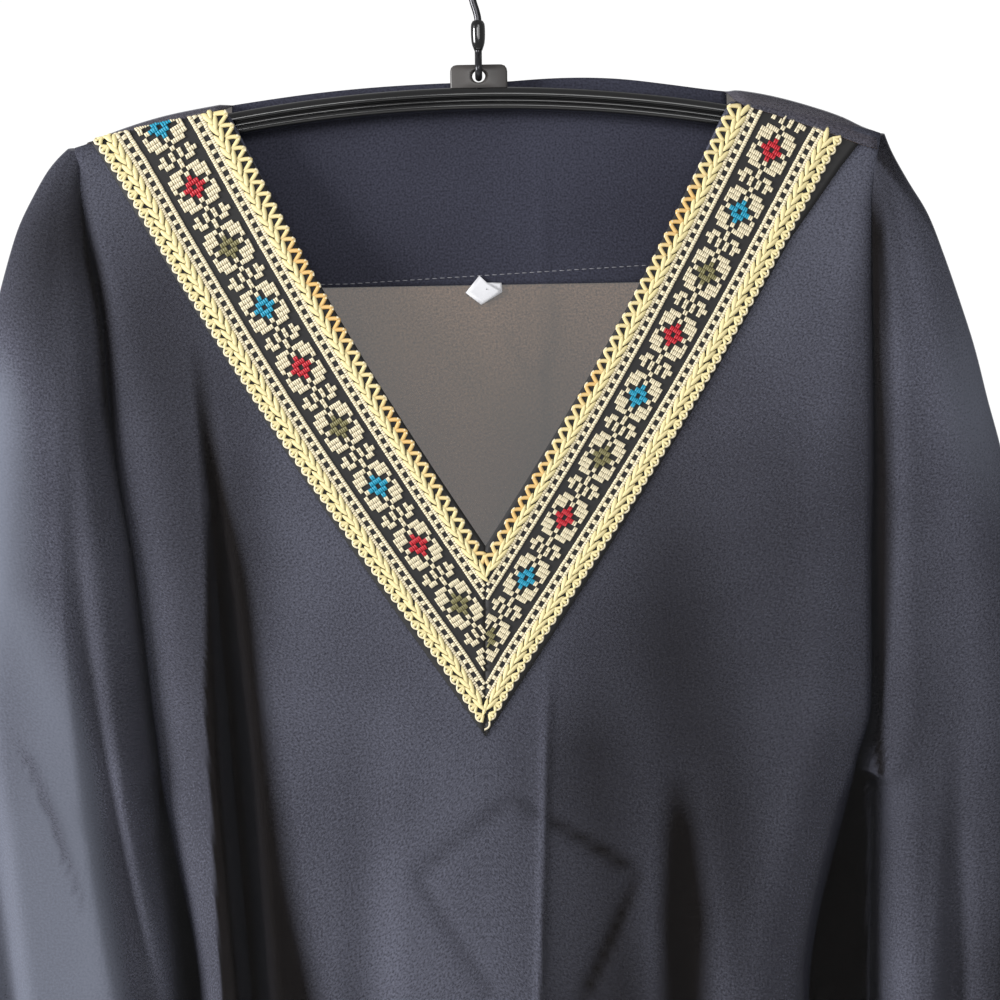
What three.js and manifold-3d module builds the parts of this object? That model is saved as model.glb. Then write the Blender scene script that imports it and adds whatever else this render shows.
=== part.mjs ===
// A pull-over abaya of crepe georgette on a moulded hanger with a wire hook.
// Millimetres, +Z up, +X to the viewer's right, the front faces -Y.
// The origin is the inner crown of the hook, where it rests on a rail.
// "drop" is the distance below the top of the hanger bar at its middle.
import * as THREE from "three";
import { mergeVertices } from "three/addons/utils/BufferGeometryUtils.js";
import Manifold3d from "manifold-3d";

// ---------------------------------------------------------------- driving dimensions
const BAR_DROP = 92; // hook crown to the bar's top
const BAR_ARC = 700; // radius of the bar's top edge
const BAR_HALF = 190; // half the bar's length
const BAR_HEIGHT = 11.4;
const BAR_DEPTH = 11;
const TAB_WIDTH = 28;
const TAB_HEIGHT = 11;
const TAB_DEPTH = 4;
const TAB_HOLE_RADIUS = 3.2;
const WIRE_RADIUS = 1.8;
const HOOK_RADIUS = 20; // inner radius of the bend

const WALL = 1.2; // cloth
const TRIM_WALL = 1.0;
const GAP = 0.3; // between sewn pieces
const OVER_BAR = 1.5; // cloth's middle above the bar's top
const HEM_DROP = 1400;
const CUFF_DROP = 590;
const UNDERARM_DROP = 335;

// The V neck: where each trim edge starts on the shoulder, and the points at the centre.
const NECK = {
  left: { inner: -126, outer: -192 },
  right: { inner: 125, outer: 185 },
};
const V_POINT = { x: -0.5, drop: 224 };
const TRIM_TIP = { x: -2, drop: 314 };
const LEG_BOW = 4.5; // each leg of the V bows outwards at its middle
const FACING_DROP = 97;
const FACING_GAP = 0.3;
const FACING_COLUMNS = 9; // of the back's columns, each side of the middle
const LABEL_SIZE = 11;
const LABEL_THICKNESS = 0.9;
// The back's top edge stands behind the bar: how high and how far back, its half width and its ease.
const BACK_NECK = { rise: 3.5, out: 8.6, half: 126, ease: 14 };
// How the panels turn back to their side edges: radius near the shoulder and lower down.
const EDGE_TURN = { top: 6, full: 34, from: 30, over: 200, flatShare: 0.7 };
const SHOULDER_EASE = 40; // fall in which the cloth leaves the bar's shape
// The sleeve's under seam lies behind the armhole's plane and close to the body.
const UNDER_SEAM = { back: 22, clear: 4.5, over: 70, edgeBack: 4, lead: 0.14 };

// Rows of cloth that bend over the bar: drop below the shoulder line, and distance from its ridge.
const OVER = [
  { fall: 0, out: 0.15 },
  { fall: 0.35, out: 4.2 },
  { fall: 2.2, out: 6.6 },
  { fall: 7, out: 7.4 },
];
const STRIP_ROWS = 15; // rows from the shoulder to the mitre
const STRIP_COLUMNS = 3; // columns across the trim
const SKIRT_ROWS = 15; // rows from the mitre to the hem
const HALF_COLUMNS = 17; // columns from the trim to the side
const BACK_ROWS = 22;
const FACING_ROW = 8; // the back's row at the facing's lower edge
const BACK_COLUMNS = 36;
const SLEEVE_ROWS = 18;
const SLEEVE_COLUMNS = 26;

// The body: half widths at the armhole or side seam, and depths in front of and behind the bar.
const BODY = [
  { drop: 25, left: 198, right: 196, front: 7.6, back: 7.6 },
  { drop: 60, left: 193, right: 190, front: 10, back: 9 },
  { drop: 110, left: 185, right: 189, front: 15, back: 13 },
  { drop: 175, left: 180, right: 189, front: 21, back: 18 },
  { drop: 235, left: 171, right: 187, front: 27, back: 24 },
  { drop: 305, left: 164, right: 186, front: 34, back: 30 },
  { drop: 335, left: 161, right: 177, front: 37, back: 33 },
  { drop: 450, left: 143, right: 148, front: 46, back: 42 },
  { drop: 650, left: 150, right: 155, front: 48, back: 44 },
  { drop: 900, left: 172, right: 176, front: 54, back: 50 },
  { drop: 1150, left: 196, right: 199, front: 60, back: 56 },
  { drop: 1400, left: 220, right: 223, front: 66, back: 62 },
];
// How deep the armhole seam lies in its groove, front and back of the bar's middle.
const ARMHOLE = [
  { drop: 25, front: 0.15, back: 0.15 },
  { drop: 29, front: 5, back: 5 },
  { drop: 45, front: 7, back: 7 },
  { drop: 110, front: 8, back: 8 },
  { drop: 200, front: 9, back: 9 },
  { drop: 290, front: 6, back: 6 },
  { drop: 335, front: 0.15, back: 0.15 },
  { drop: 1400, front: 0.15, back: 0.15 },
];
// Each sleeve: its inner line below the underarm, outer outline, and depths.
const SLEEVE = {
  left: [
    { drop: 25, inner: 198, outer: 199.5, front: 5, back: 5 },
    { drop: 45, inner: 195, outer: 211, front: 9, back: 9 },
    { drop: 75, inner: 190, outer: 227, front: 15, back: 13 },
    { drop: 112, inner: 185, outer: 240, front: 20, back: 18 },
    { drop: 150, inner: 182, outer: 250, front: 24, back: 22 },
    { drop: 235, inner: 171, outer: 262, front: 31, back: 28 },
    { drop: 335, inner: 164, outer: 268, front: 37, back: 34 },
    { drop: 450, inner: 153, outer: 270, front: 40, back: 37 },
    { drop: 590, inner: 160, outer: 266, front: 40, back: 37 },
  ],
  right: [
    { drop: 25, inner: 196, outer: 197.5, front: 5, back: 5 },
    { drop: 45, inner: 191, outer: 208, front: 9, back: 9 },
    { drop: 75, inner: 189, outer: 223, front: 15, back: 13 },
    { drop: 112, inner: 189, outer: 239, front: 20, back: 18 },
    { drop: 150, inner: 189, outer: 251, front: 24, back: 22 },
    { drop: 235, inner: 187, outer: 262, front: 31, back: 28 },
    { drop: 335, inner: 186, outer: 268, front: 37, back: 34 },
    { drop: 450, inner: 184, outer: 271, front: 40, back: 37 },
    { drop: 590, inner: 182, outer: 268, front: 40, back: 37 },
  ],
};
// Folds. x is the line's place at the first and last drop, width is half the fold's width,
// and depth is how far it is pushed in (negative stands out), both at the last drop.
// carried: the size it starts with. fades: it is deepest halfway. bend: how its line curves.
const FRONT_FOLDS = [
  { name: "deep_left", from: 130, to: 446, x0: -134, x1: -110, width: 15, depth: 26 },
  { name: "deep_left_skirt", from: 446, to: 1400, x0: -110, x1: -128, width: 34, depth: 34, carried: { width: 15, depth: 26 } },
  { name: "press_line", from: 285, to: 900, x0: 28, x1: 14, width: 12, depth: -2.5, fades: true },
  { name: "soft_right", from: 250, to: 1400, x0: 92, x1: 104, width: 34, depth: 32 },
  { name: "soft_left", from: 250, to: 1400, x0: -58, x1: -52, width: 30, depth: 26 },
  { name: "hem_middle", from: 420, to: 1400, x0: 20, x1: 26, width: 34, depth: 30 },
  { name: "hem_right", from: 520, to: 1400, x0: 128, x1: 170, width: 30, depth: 26 },
];
const BACK_FOLDS = [
  { name: "back_left", from: 200, to: 1400, x0: -104, x1: -150, width: 34, depth: 30 },
  { name: "back_mid_left", from: 260, to: 1400, x0: -40, x1: -58, width: 32, depth: 28 },
  { name: "back_mid_right", from: 240, to: 1400, x0: 44, x1: 40, width: 34, depth: 32 },
  { name: "back_right", from: 210, to: 1400, x0: 112, x1: 140, width: 32, depth: 28 },
];
const SLEEVE_FOLDS = {
  left: [
    { name: "front_outer", side: "front", from: 150, to: 590, x0: -199, x1: -128, width: 13, depth: 16, bend: 1.8 },
    { name: "front_edge", side: "front", from: 240, to: 590, x0: -245, x1: -222, width: 16, depth: 13 },
    { name: "rear_inner", side: "back", from: 120, to: 590, x0: -208, x1: -190, width: 18, depth: 20 },
    { name: "rear_outer", side: "back", from: 200, to: 590, x0: -240, x1: -236, width: 14, depth: 14 },
  ],
  right: [
    { name: "front_inner", side: "front", from: 300, to: 590, x0: 222, x1: 214, width: 14, depth: 14 },
    { name: "front_edge", side: "front", from: 320, to: 590, x0: 248, x1: 246, width: 12, depth: 9 },
    { name: "rear_inner", side: "back", from: 120, to: 590, x0: 212, x1: 206, width: 17, depth: 20 },
    { name: "rear_outer", side: "back", from: 220, to: 590, x0: 244, x1: 242, width: 13, depth: 13 },
  ],
};

// ---------------------------------------------------------------- small helpers
const lerp = (a, b, t) => a + (b - a) * t;
const clamp01 = (t) => Math.min(1, Math.max(0, t));
const smooth = (t) => clamp01(t) ** 2 * (3 - 2 * clamp01(t));

// Reads one column of a section table at a drop, with a smooth curve through the rows.
function read(table, column, drop) {
  const last = table.length - 1;
  if (drop <= table[0].drop) return table[0][column];
  if (drop >= table[last].drop) return table[last][column];
  const i = table.findIndex((row) => row.drop > drop) - 1;
  const [a, b] = [table[i], table[i + 1]];
  const secant = (k) => (table[k + 1][column] - table[k][column]) / (table[k + 1].drop - table[k].drop);
  const slopeAt = (k) => {
    const [before, after] = [secant(Math.max(0, k - 1)), secant(Math.min(last - 1, k))];
    return before * after > 0 ? (2 * before * after) / (before + after) : 0;
  };
  const step = b.drop - a.drop;
  const t = (drop - a.drop) / step;
  const rise = b[column] - a[column];
  const [m0, m1] = [slopeAt(i) * step, slopeAt(i + 1) * step];
  return a[column] + t * m0 + t * t * (3 * rise - 2 * m0 - m1) + t ** 3 * (m0 + m1 - 2 * rise);
}

const shoulderDrop = (x) => (x * x) / (2 * BAR_ARC) - OVER_BAR;

// The drop of a row's point at x, t of the way from one end to the other: near the shoulder a row
// follows the bar's curve, and further down it is straight.
function dropBetween(inner, outer, x, t) {
  const falls = [inner, outer].map((end) => end.drop - shoulderDrop(end.x));
  const bow = shoulderDrop(x) - lerp(shoulderDrop(inner.x), shoulderDrop(outer.x), t);
  const near = 1 - smooth((lerp(falls[0], falls[1], t) - OVER[3].fall) / 50);
  return lerp(inner.drop, outer.drop, t) + bow * near;
}

// How far folds push the cloth in at (x, drop). A fold grows to its full size early on its way.
const FOLD_GROWTH = 1.35;
const FOLD_FIRST_WIDTH = 0.55;

function foldDepth(folds, x, drop) {
  let depth = 0;
  for (const fold of folds) {
    const t = (drop - fold.from) / (fold.to - fold.from);
    if (t <= 0 || t > 1) continue;
    const grow = smooth(t * FOLD_GROWTH);
    const reach = fold.carried ? lerp(fold.carried.depth, fold.depth, t) : fold.depth * grow;
    const widest = fold.width * lerp(FOLD_FIRST_WIDTH, 1, grow);
    const width = fold.carried ? lerp(fold.carried.width, fold.width, t) : widest;
    const fade = fold.fades ? Math.sin(Math.PI * t) : 1;
    const line = lerp(fold.x0, fold.x1, t ** (fold.bend ?? 1));
    const away = Math.abs(x - line) / width;
    if (away < 1) depth += reach * fade * Math.cos((away * Math.PI) / 2) ** 2;
  }
  return depth;
}

// Depth of a panel at (x, drop): over the bar first, then the body's depth less its folds.
function panelDepth(side, folds, x, drop) {
  const fall = drop - shoulderDrop(x);
  if (fall <= OVER[3].fall) {
    const i = Math.max(0, OVER.findIndex((row) => row.fall >= fall - 1e-6) - 1);
    const [a, b] = [OVER[i], OVER[i + 1]];
    return lerp(a.out, b.out, clamp01((fall - a.fall) / (b.fall - a.fall)));
  }
  const body = read(BODY, side, drop);
  const blend = smooth((fall - OVER[3].fall) / SHOULDER_EASE);
  return lerp(OVER[3].out, body - foldDepth(folds, x, drop), blend);
}

// Spreads a fine plan curve into equal steps of arc length.
function evenly(points, count) {
  const lengths = [0];
  for (let i = 1; i < points.length; i += 1) {
    lengths.push(lengths[i - 1] + points[i].distanceTo(points[i - 1]));
  }
  const total = lengths[lengths.length - 1];
  const out = [];
  let i = 1;
  for (let k = 0; k <= count; k += 1) {
    const target = (total * k) / count;
    while (i < points.length - 1 && lengths[i] < target) i += 1;
    const t = (target - lengths[i - 1]) / (lengths[i] - lengths[i - 1] || 1);
    out.push(points[i - 1].clone().lerp(points[i], clamp01(t)));
  }
  return out;
}

const toZ = (drop) => -BAR_DROP - drop;

// ---------------------------------------------------------------- a sheet and its wall
// A sheet is a list of points and triangles. Edge points may carry the seam's direction, so that
// the wall is square to it and the gap to the next piece stays even.
class Sheet {
  constructor() {
    this.points = [];
    this.faces = [];
    this.seams = new Map();
  }

  add(point, seam) {
    this.points.push(point);
    if (seam) this.seams.set(this.points.length - 1, seam);
    return this.points.length - 1;
  }

  // Joins two rows of point numbers of the same length.
  join(upper, lower, flip) {
    for (let i = 0; i + 1 < upper.length; i += 1) {
      const [a, b, c, d] = [upper[i], upper[i + 1], lower[i + 1], lower[i]];
      for (const face of [[a, d, c], [a, c, b]]) {
        if (new Set(face).size < 3) continue;
        this.faces.push(flip ? [face[0], face[2], face[1]] : face);
      }
    }
  }

  normals() {
    const out = this.points.map(() => new THREE.Vector3());
    for (const [a, b, c] of this.faces) {
      const u = this.points[b].clone().sub(this.points[a]);
      const n = u.cross(this.points[c].clone().sub(this.points[a]));
      for (const i of [a, b, c]) out[i].add(n);
    }
    for (const [i, seam] of this.seams) out[i].addScaledVector(seam, -out[i].dot(seam));
    return out.map((n) => n.normalize());
  }

  // A closed wall: the sheet moved out and in by half the thickness, with its edges joined.
  wall(thickness, shift = 0) {
    const normals = this.normals();
    const count = this.points.length;
    const position = [];
    for (const side of [shift + thickness / 2, shift - thickness / 2]) {
      this.points.forEach((p, i) => position.push(...p.clone().addScaledVector(normals[i], side).toArray()));
    }
    const index = [];
    const open = new Map();
    for (const [a, b, c] of this.faces) {
      index.push(a, b, c, a + count, c + count, b + count);
      for (const [p, q] of [[a, b], [b, c], [c, a]]) {
        if (!open.delete(`${q},${p}`)) open.set(`${p},${q}`, [p, q]);
      }
    }
    for (const [p, q] of open.values()) index.push(p, p + count, q, q, p + count, q + count);
    const geometry = new THREE.BufferGeometry();
    geometry.setAttribute("position", new THREE.Float32BufferAttribute(position, 3));
    geometry.setIndex(index);
    return geometry;
  }
}

const ALONG_X = new THREE.Vector3(1, 0, 0);
const ALONG_Y = new THREE.Vector3(0, 1, 0);

// ---------------------------------------------------------------- front and trims
// The seam's own line at a drop: side is "left" or "right", face is "front" or "back".
function bodyEdge(side, face, drop) {
  const sign = side === "left" ? -1 : 1;
  const facing = face === "front" ? -1 : 1;
  const lap = drop < UNDERARM_DROP ? (WALL + GAP) / 2 : 0;
  const x = sign * (read(BODY, side, drop) - lap);
  return new THREE.Vector3(x, facing * read(ARMHOLE, face, drop), toZ(drop));
}

const edgeSeam = (drop) => (drop < UNDERARM_DROP && drop > 30 ? ALONG_X : ALONG_Y);

// One row of a half panel, from an inner point (x, drop) out to the armhole or side seam.
function halfRow(side, face, folds, inner, edgeDrop, count) {
  const sign = side === "left" ? -1 : 1;
  const facing = face === "front" ? -1 : 1;
  const edge = bodyEdge(side, face, edgeDrop);
  const reach = Math.abs(edge.x - inner.x);
  const turned = smooth((edgeDrop - EDGE_TURN.from) / EDGE_TURN.over);
  const corner = Math.min(lerp(EDGE_TURN.top, EDGE_TURN.full, turned), reach * 0.9);
  const flat = EDGE_TURN.flatShare;
  const depthAt = (x, drop) => facing * panelDepth(face, folds, x, drop);
  const outer = { x: edge.x, drop: edgeDrop };
  const fine = [];
  const steps = 160;
  for (let i = 0; i <= steps; i += 1) {
    const t = i / steps;
    const angle = (Math.max(0, (t - flat) / (1 - flat)) * Math.PI) / 2;
    const turn = edge.x - sign * corner;
    const x = t < flat ? lerp(inner.x, turn, t / flat) : turn + sign * corner * Math.sin(angle);
    const drop = dropBetween(inner, outer, x, t);
    const y = lerp(edge.y, depthAt(x, drop), Math.cos(angle));
    fine.push(new THREE.Vector3(x, y, toZ(drop)));
  }
  const row = evenly(fine, count);
  row[count].copy(edge);
  return row;
}

// The trim's inner or outer edge at row k, on the shoulder at row 0 and on the centre at the last row.
function stripEdge(side, edge, k) {
  const start = NECK[side][edge];
  const end = edge === "inner" ? V_POINT : TRIM_TIP;
  const run = { x: start, drop: shoulderDrop(start) };
  const fallRate = end.drop - run.drop - (start / BAR_ARC) * (end.x - start);
  const over = OVER[Math.min(k, 3)].fall / fallRate;
  const onward = Math.max(0, (k - 3) / (STRIP_ROWS - 3));
  const t = lerp(over, 1, onward);
  const [across, down] = [end.x - run.x, end.drop - run.drop];
  const bow = (LEG_BOW * Math.sin(Math.PI * onward)) / Math.hypot(across, down);
  return {
    x: run.x + across * t + Math.sign(start) * bow * down,
    drop: run.drop + down * t + bow * Math.abs(across),
  };
}

const frontSurface = (x, drop) => new THREE.Vector3(x, -panelDepth("front", FRONT_FOLDS, x, drop), toZ(drop));

function edgeDropAt(side, k) {
  const top = shoulderDrop(read(BODY, side, 25));
  if (k <= 3) return top + OVER[k].fall;
  if (k <= STRIP_ROWS) return lerp(top + OVER[3].fall, UNDERARM_DROP, (k - 3) / (STRIP_ROWS - 3));
  return lerp(UNDERARM_DROP, HEM_DROP, ((k - STRIP_ROWS) / SKIRT_ROWS) ** 1.25);
}

const centreDropAt = (k) => lerp(TRIM_TIP.drop, HEM_DROP, ((k - STRIP_ROWS) / SKIRT_ROWS) ** 1.25);

// Rows of one leg of the V: points across the trim's width.
function stripRows(side) {
  const rows = [];
  for (let k = 0; k <= STRIP_ROWS; k += 1) {
    const [inner, outer] = [stripEdge(side, "inner", k), stripEdge(side, "outer", k)];
    const row = [];
    for (let c = 0; c <= STRIP_COLUMNS; c += 1) {
      const t = c / STRIP_COLUMNS;
      const x = lerp(inner.x, outer.x, t);
      row.push(frontSurface(x, dropBetween(inner, outer, x, t)));
    }
    rows.push(row);
  }
  return rows;
}

function frontSheet() {
  const sheet = new Sheet();
  const strips = {};
  const centre = [];
  for (const side of ["left", "right"]) {
    const flip = side === "right";
    const strip = stripRows(side).map((row, k) =>
      row.map((p) => {
        if (k === STRIP_ROWS && side === "right") return null;
        return sheet.add(p, k === 0 ? ALONG_Y : undefined);
      }),
    );
    if (side === "right") strip[STRIP_ROWS] = strips.left[STRIP_ROWS];
    strips[side] = strip;
    strip.slice(1).forEach((row, k) => sheet.join(strip[k].slice().reverse(), row.slice().reverse(), flip));
    let above = null;
    for (let k = 0; k <= STRIP_ROWS + SKIRT_ROWS; k += 1) {
      const edgeDrop = edgeDropAt(side, k);
      const below = k > STRIP_ROWS;
      const inner = below ? { x: TRIM_TIP.x, drop: centreDropAt(k) } : stripEdge(side, "outer", k);
      const points = halfRow(side, "front", FRONT_FOLDS, inner, edgeDrop, HALF_COLUMNS);
      const seam = k === 0 ? ALONG_Y : undefined;
      let first;
      if (!below) first = strip[k][STRIP_COLUMNS];
      else if (side === "left") first = centre[k] = sheet.add(points[0]);
      else first = centre[k];
      const ids = points.map((p, c) => {
        if (c === 0) return first;
        return sheet.add(p, c === HALF_COLUMNS ? edgeSeam(edgeDrop) : seam);
      });
      if (above) sheet.join(above.slice().reverse(), ids.slice().reverse(), flip);
      above = ids;
    }
  }
  return { sheet, strips };
}

// A trim leg uses the front's own points, cut clear of the other leg at the mitre.
function trimSheet(front, side) {
  const sheet = new Sheet();
  const normals = front.sheet.normals();
  const sign = side === "left" ? -1 : 1;
  const lift = WALL / 2 + GAP + TRIM_WALL / 2;
  const rows = front.strips[side].map((row, k) =>
    row.map((id) => {
      const p = front.sheet.points[id].clone().addScaledVector(normals[id], lift);
      if (k === STRIP_ROWS) p.x += sign * GAP * 0.6;
      if (k === 0) p.y -= GAP;
      return sheet.add(p, k === 0 ? ALONG_Y : k === STRIP_ROWS ? ALONG_X : undefined);
    }),
  );
  rows.slice(1).forEach((row, k) => sheet.join(rows[k].slice().reverse(), row.slice().reverse(), side === "right"));
  return sheet;
}

// ---------------------------------------------------------------- back and facing
function backTop(x) {
  const reach = smooth((BACK_NECK.half - Math.abs(x)) / BACK_NECK.ease);
  return { drop: shoulderDrop(x) - BACK_NECK.rise * reach, reach };
}

// The drop of row k of the back, which starts at the shoulder line's drop, top.
function backDropAt(k, top) {
  if (k <= 3) return top + OVER[k].fall;
  if (k <= FACING_ROW) return lerp(top + OVER[3].fall, FACING_DROP, (k - 3) / (FACING_ROW - 3));
  return lerp(FACING_DROP, HEM_DROP, ((k - FACING_ROW) / (BACK_ROWS - FACING_ROW)) ** 1.2);
}

function backRow(k) {
  const half = BACK_COLUMNS / 2;
  const row = [];
  for (const side of ["left", "right"]) {
    const edgeDrop = backDropAt(k, shoulderDrop(read(BODY, side, 25)));
    const innerDrop = backDropAt(k, shoulderDrop(0));
    const points = halfRow(side, "back", BACK_FOLDS, { x: 0, drop: innerDrop }, edgeDrop, half);
    if (k <= 3) {
      const reach = Math.abs(points[half].x);
      points.forEach((p, c) => {
        p.x = lerp(0, points[half].x, c / half);
        const spot = backTop(p.x);
        const drop = spot.drop + OVER[k].fall;
        p.y = lerp(OVER[k].out, BACK_NECK.out, spot.reach);
        p.z = toZ(drop);
        if (Math.abs(p.x) === reach) p.y = OVER[k].out;
      });
    }
    row.push(side === "left" ? points.reverse() : points.slice(1));
  }
  return row.flat();
}

function backSheet() {
  const sheet = new Sheet();
  const rows = [];
  for (let k = 0; k <= BACK_ROWS; k += 1) {
    const points = backRow(k);
    rows.push(
      points.map((p, c) => {
        const drop = -BAR_DROP - p.z;
        const side = c === 0 || c === points.length - 1;
        const shoulder = k === 0 && backTop(p.x).reach === 0;
        return sheet.add(p, side ? edgeSeam(drop) : shoulder ? ALONG_Y : undefined);
      }),
    );
    if (k) sheet.join(rows[k - 1], rows[k], true);
  }
  return { sheet, rows };
}

// The facing uses the back's own points, moved in.
function facingSheet(back) {
  const sheet = new Sheet();
  const normals = back.sheet.normals();
  const shift = -(WALL + FACING_GAP);
  const ids = back.rows.slice(0, FACING_ROW + 1).map((row) => {
    const middle = BACK_COLUMNS / 2;
    const inside = row.slice(middle - FACING_COLUMNS, middle + FACING_COLUMNS + 1);
    return inside.map((id) => sheet.add(back.sheet.points[id].clone().addScaledVector(normals[id], shift)));
  });
  ids.slice(1).forEach((row, k) => sheet.join(ids[k], row, true));
  return sheet;
}

// ---------------------------------------------------------------- sleeves
function sleeveRow(side, k) {
  const sign = side === "left" ? -1 : 1;
  const table = SLEEVE[side];
  const top = shoulderDrop(table[0].inner) + OVER[2].fall;
  const t = (k / SLEEVE_ROWS) ** 1.15;
  const edgeDrop = lerp(top, CUFF_DROP, t);
  const outerDrop = lerp(shoulderDrop(table[0].inner) + 0.6, CUFF_DROP, t);
  const lap = edgeDrop < UNDERARM_DROP ? (WALL + GAP) / 2 : 0;
  const apart = edgeDrop < UNDERARM_DROP ? read(BODY, side, edgeDrop) : read(table, "inner", edgeDrop);
  const inner = apart + lap;
  const under = smooth((edgeDrop - UNDERARM_DROP) / UNDER_SEAM.over);
  const tuck = under * Math.max(0, apart - read(BODY, side, edgeDrop) - UNDER_SEAM.clear);
  const half = (face) => {
    const facing = face === "front" ? -1 : 1;
    const edgeY = facing * read(ARMHOLE, face, edgeDrop);
    const seamY = edgeY + UNDER_SEAM.back * under;
    const lead = face === "front" ? UNDER_SEAM.lead * under : 0;
    const turnY = face === "front" ? edgeY + UNDER_SEAM.edgeBack * under : seamY;
    const turnX = face === "front" ? inner : inner - tuck;
    const fine = [];
    const steps = 90;
    for (let i = 0; i <= steps; i += 1) {
      const s = i / steps;
      const drop = lerp(edgeDrop, outerDrop, smooth(s));
      const outer = read(table, "outer", drop);
      const depth = read(table, face, drop);
      const wide = Math.max(outer - inner, 1.5);
      const start = Math.min(16, wide * 0.3);
      const turn = Math.min(36, wide * 0.55);
      let x;
      let y;
      if (s < lead) {
        x = lerp(inner - tuck, inner, s / lead);
        y = lerp(seamY, turnY, s / lead);
      } else if (s < 0.25) {
        const angle = (((s - lead) / (0.25 - lead)) * Math.PI) / 2;
        x = lerp(turnX, inner + start, 1 - Math.cos(angle));
        y = lerp(turnY, facing * depth, Math.sin(angle));
      } else if (s < 0.6) {
        x = lerp(inner + start, outer - turn, (s - 0.25) / 0.35);
        y = facing * depth;
      } else {
        const angle = (((s - 0.6) / 0.4) * Math.PI) / 2;
        x = outer - turn * (1 - Math.sin(angle));
        y = facing * depth * Math.cos(angle);
      }
      const folds = SLEEVE_FOLDS[side].filter((fold) => fold.side === face);
      const shrink = Math.min(1, Math.abs(y) / 30);
      y -= facing * foldDepth(folds, sign * x, drop) * shrink;
      fine.push(new THREE.Vector3(sign * x, y, toZ(drop)));
    }
    return fine;
  };
  const curve = [...half("front"), ...half("back").reverse().slice(1)];
  return { points: evenly(curve, SLEEVE_COLUMNS), edgeDrop };
}

function sleeveSheet(side) {
  const sheet = new Sheet();
  let above = null;
  for (let k = 0; k <= SLEEVE_ROWS; k += 1) {
    const { points, edgeDrop } = sleeveRow(side, k);
    const ids = points.map((p, c) => {
      const onEdge = c === 0 || c === SLEEVE_COLUMNS;
      if (k === 0) return sheet.add(p, ALONG_X);
      return sheet.add(p, onEdge ? edgeSeam(edgeDrop) : undefined);
    });
    if (above) sheet.join(above, ids, side === "left");
    above = ids;
  }
  return sheet;
}

// ---------------------------------------------------------------- hanger and hook
// The bar's half section: an I with rounded flanges, as (across, below the top).
function barSection() {
  const half = BAR_DEPTH / 2;
  const flange = 3.6;
  const web = 1.6;
  const round = 1.6;
  const right = [
    [half - round, 0],
    [half - 0.4, round * 0.4],
    [half, round],
    [half, flange],
    [web, flange + 1],
    [web, BAR_HEIGHT - flange - 1],
    [half, BAR_HEIGHT - flange],
    [half, BAR_HEIGHT - round],
    [half - round, BAR_HEIGHT],
  ];
  return [...right, ...right.map(([y, d]) => [-y, d]).reverse()];
}

function barGeometry() {
  const section = barSection();
  const steps = 26;
  const position = [];
  const index = [];
  const size = section.length;
  for (let k = 0; k <= steps; k += 1) {
    const x = lerp(-BAR_HALF, BAR_HALF, k / steps);
    for (const [y, down] of section) position.push(x, y, toZ((x * x) / (2 * BAR_ARC) + down));
    if (!k) continue;
    for (let i = 0; i < size; i += 1) {
      const [a, b] = [(k - 1) * size + i, (k - 1) * size + ((i + 1) % size)];
      index.push(a, a + size, b, b, a + size, b + size);
    }
  }
  // The ends are closed half by half, flange, web, flange.
  const quads = [[0, 1, 16, 17], [1, 2, 15, 16], [2, 3, 14, 15], [3, 4, 13, 14], [4, 5, 12, 13]];
  quads.push([5, 6, 11, 12], [6, 7, 10, 11], [7, 8, 9, 10]);
  for (const [a, b, c, d] of quads) {
    index.push(a, b, c, a, c, d);
    const far = steps * size;
    index.push(far + a, far + c, far + b, far + a, far + d, far + c);
  }
  const geometry = new THREE.BufferGeometry();
  geometry.setAttribute("position", new THREE.Float32BufferAttribute(position, 3));
  geometry.setIndex(index);
  return geometry;
}

function tabGeometry() {
  const half = TAB_WIDTH / 2;
  const round = 4;
  const foot = -BAR_HEIGHT * 0.2;
  const shape = new THREE.Shape();
  shape.moveTo(-half, foot);
  shape.lineTo(half, foot);
  shape.lineTo(half, TAB_HEIGHT - round);
  shape.absarc(half - round, TAB_HEIGHT - round, round, 0, Math.PI / 2);
  shape.lineTo(-half + round, TAB_HEIGHT);
  shape.absarc(-half + round, TAB_HEIGHT - round, round, Math.PI / 2, Math.PI);
  const hole = new THREE.Path();
  hole.absarc(0, TAB_HEIGHT * 0.5, TAB_HOLE_RADIUS, 0, Math.PI * 2);
  shape.holes.push(hole);
  const geometry = new THREE.ExtrudeGeometry(shape, { depth: TAB_DEPTH, bevelEnabled: false, curveSegments: 6 });
  geometry.rotateX(Math.PI / 2);
  geometry.translate(0, TAB_DEPTH / 2, toZ(0));
  return geometry;
}

const bare = (geometry) => {
  const out = geometry.clone();
  out.deleteAttribute("normal");
  out.deleteAttribute("uv");
  return mergeVertices(out, 1e-4);
};

async function hangerGeometry() {
  const wasm = await Manifold3d();
  wasm.setup();
  const solid = (geometry) => {
    const merged = bare(geometry);
    return new wasm.Manifold(
      new wasm.Mesh({
        numProp: 3,
        vertProperties: new Float32Array(merged.attributes.position.array),
        triVerts: new Uint32Array(merged.index.array),
      }),
    );
  };
  const mesh = solid(barGeometry()).add(solid(tabGeometry())).getMesh();
  const geometry = new THREE.BufferGeometry();
  geometry.setAttribute("position", new THREE.Float32BufferAttribute(mesh.vertProperties, 3));
  geometry.setIndex(Array.from(mesh.triVerts));
  return geometry;
}

// A round wire along a path, closed at both ends.
function wire(points, radius, steps) {
  const path = new THREE.CatmullRomCurve3(points, false, "centripetal");
  const ring = new THREE.Shape();
  const sides = 8;
  for (let i = 0; i < sides; i += 1) {
    const angle = (i * 2 * Math.PI) / sides;
    const corner = [radius * Math.cos(angle), radius * Math.sin(angle)];
    if (i) ring.lineTo(...corner);
    else ring.moveTo(...corner);
  }
  return new THREE.ExtrudeGeometry(ring, { steps, bevelEnabled: false, extrudePath: path });
}

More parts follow.
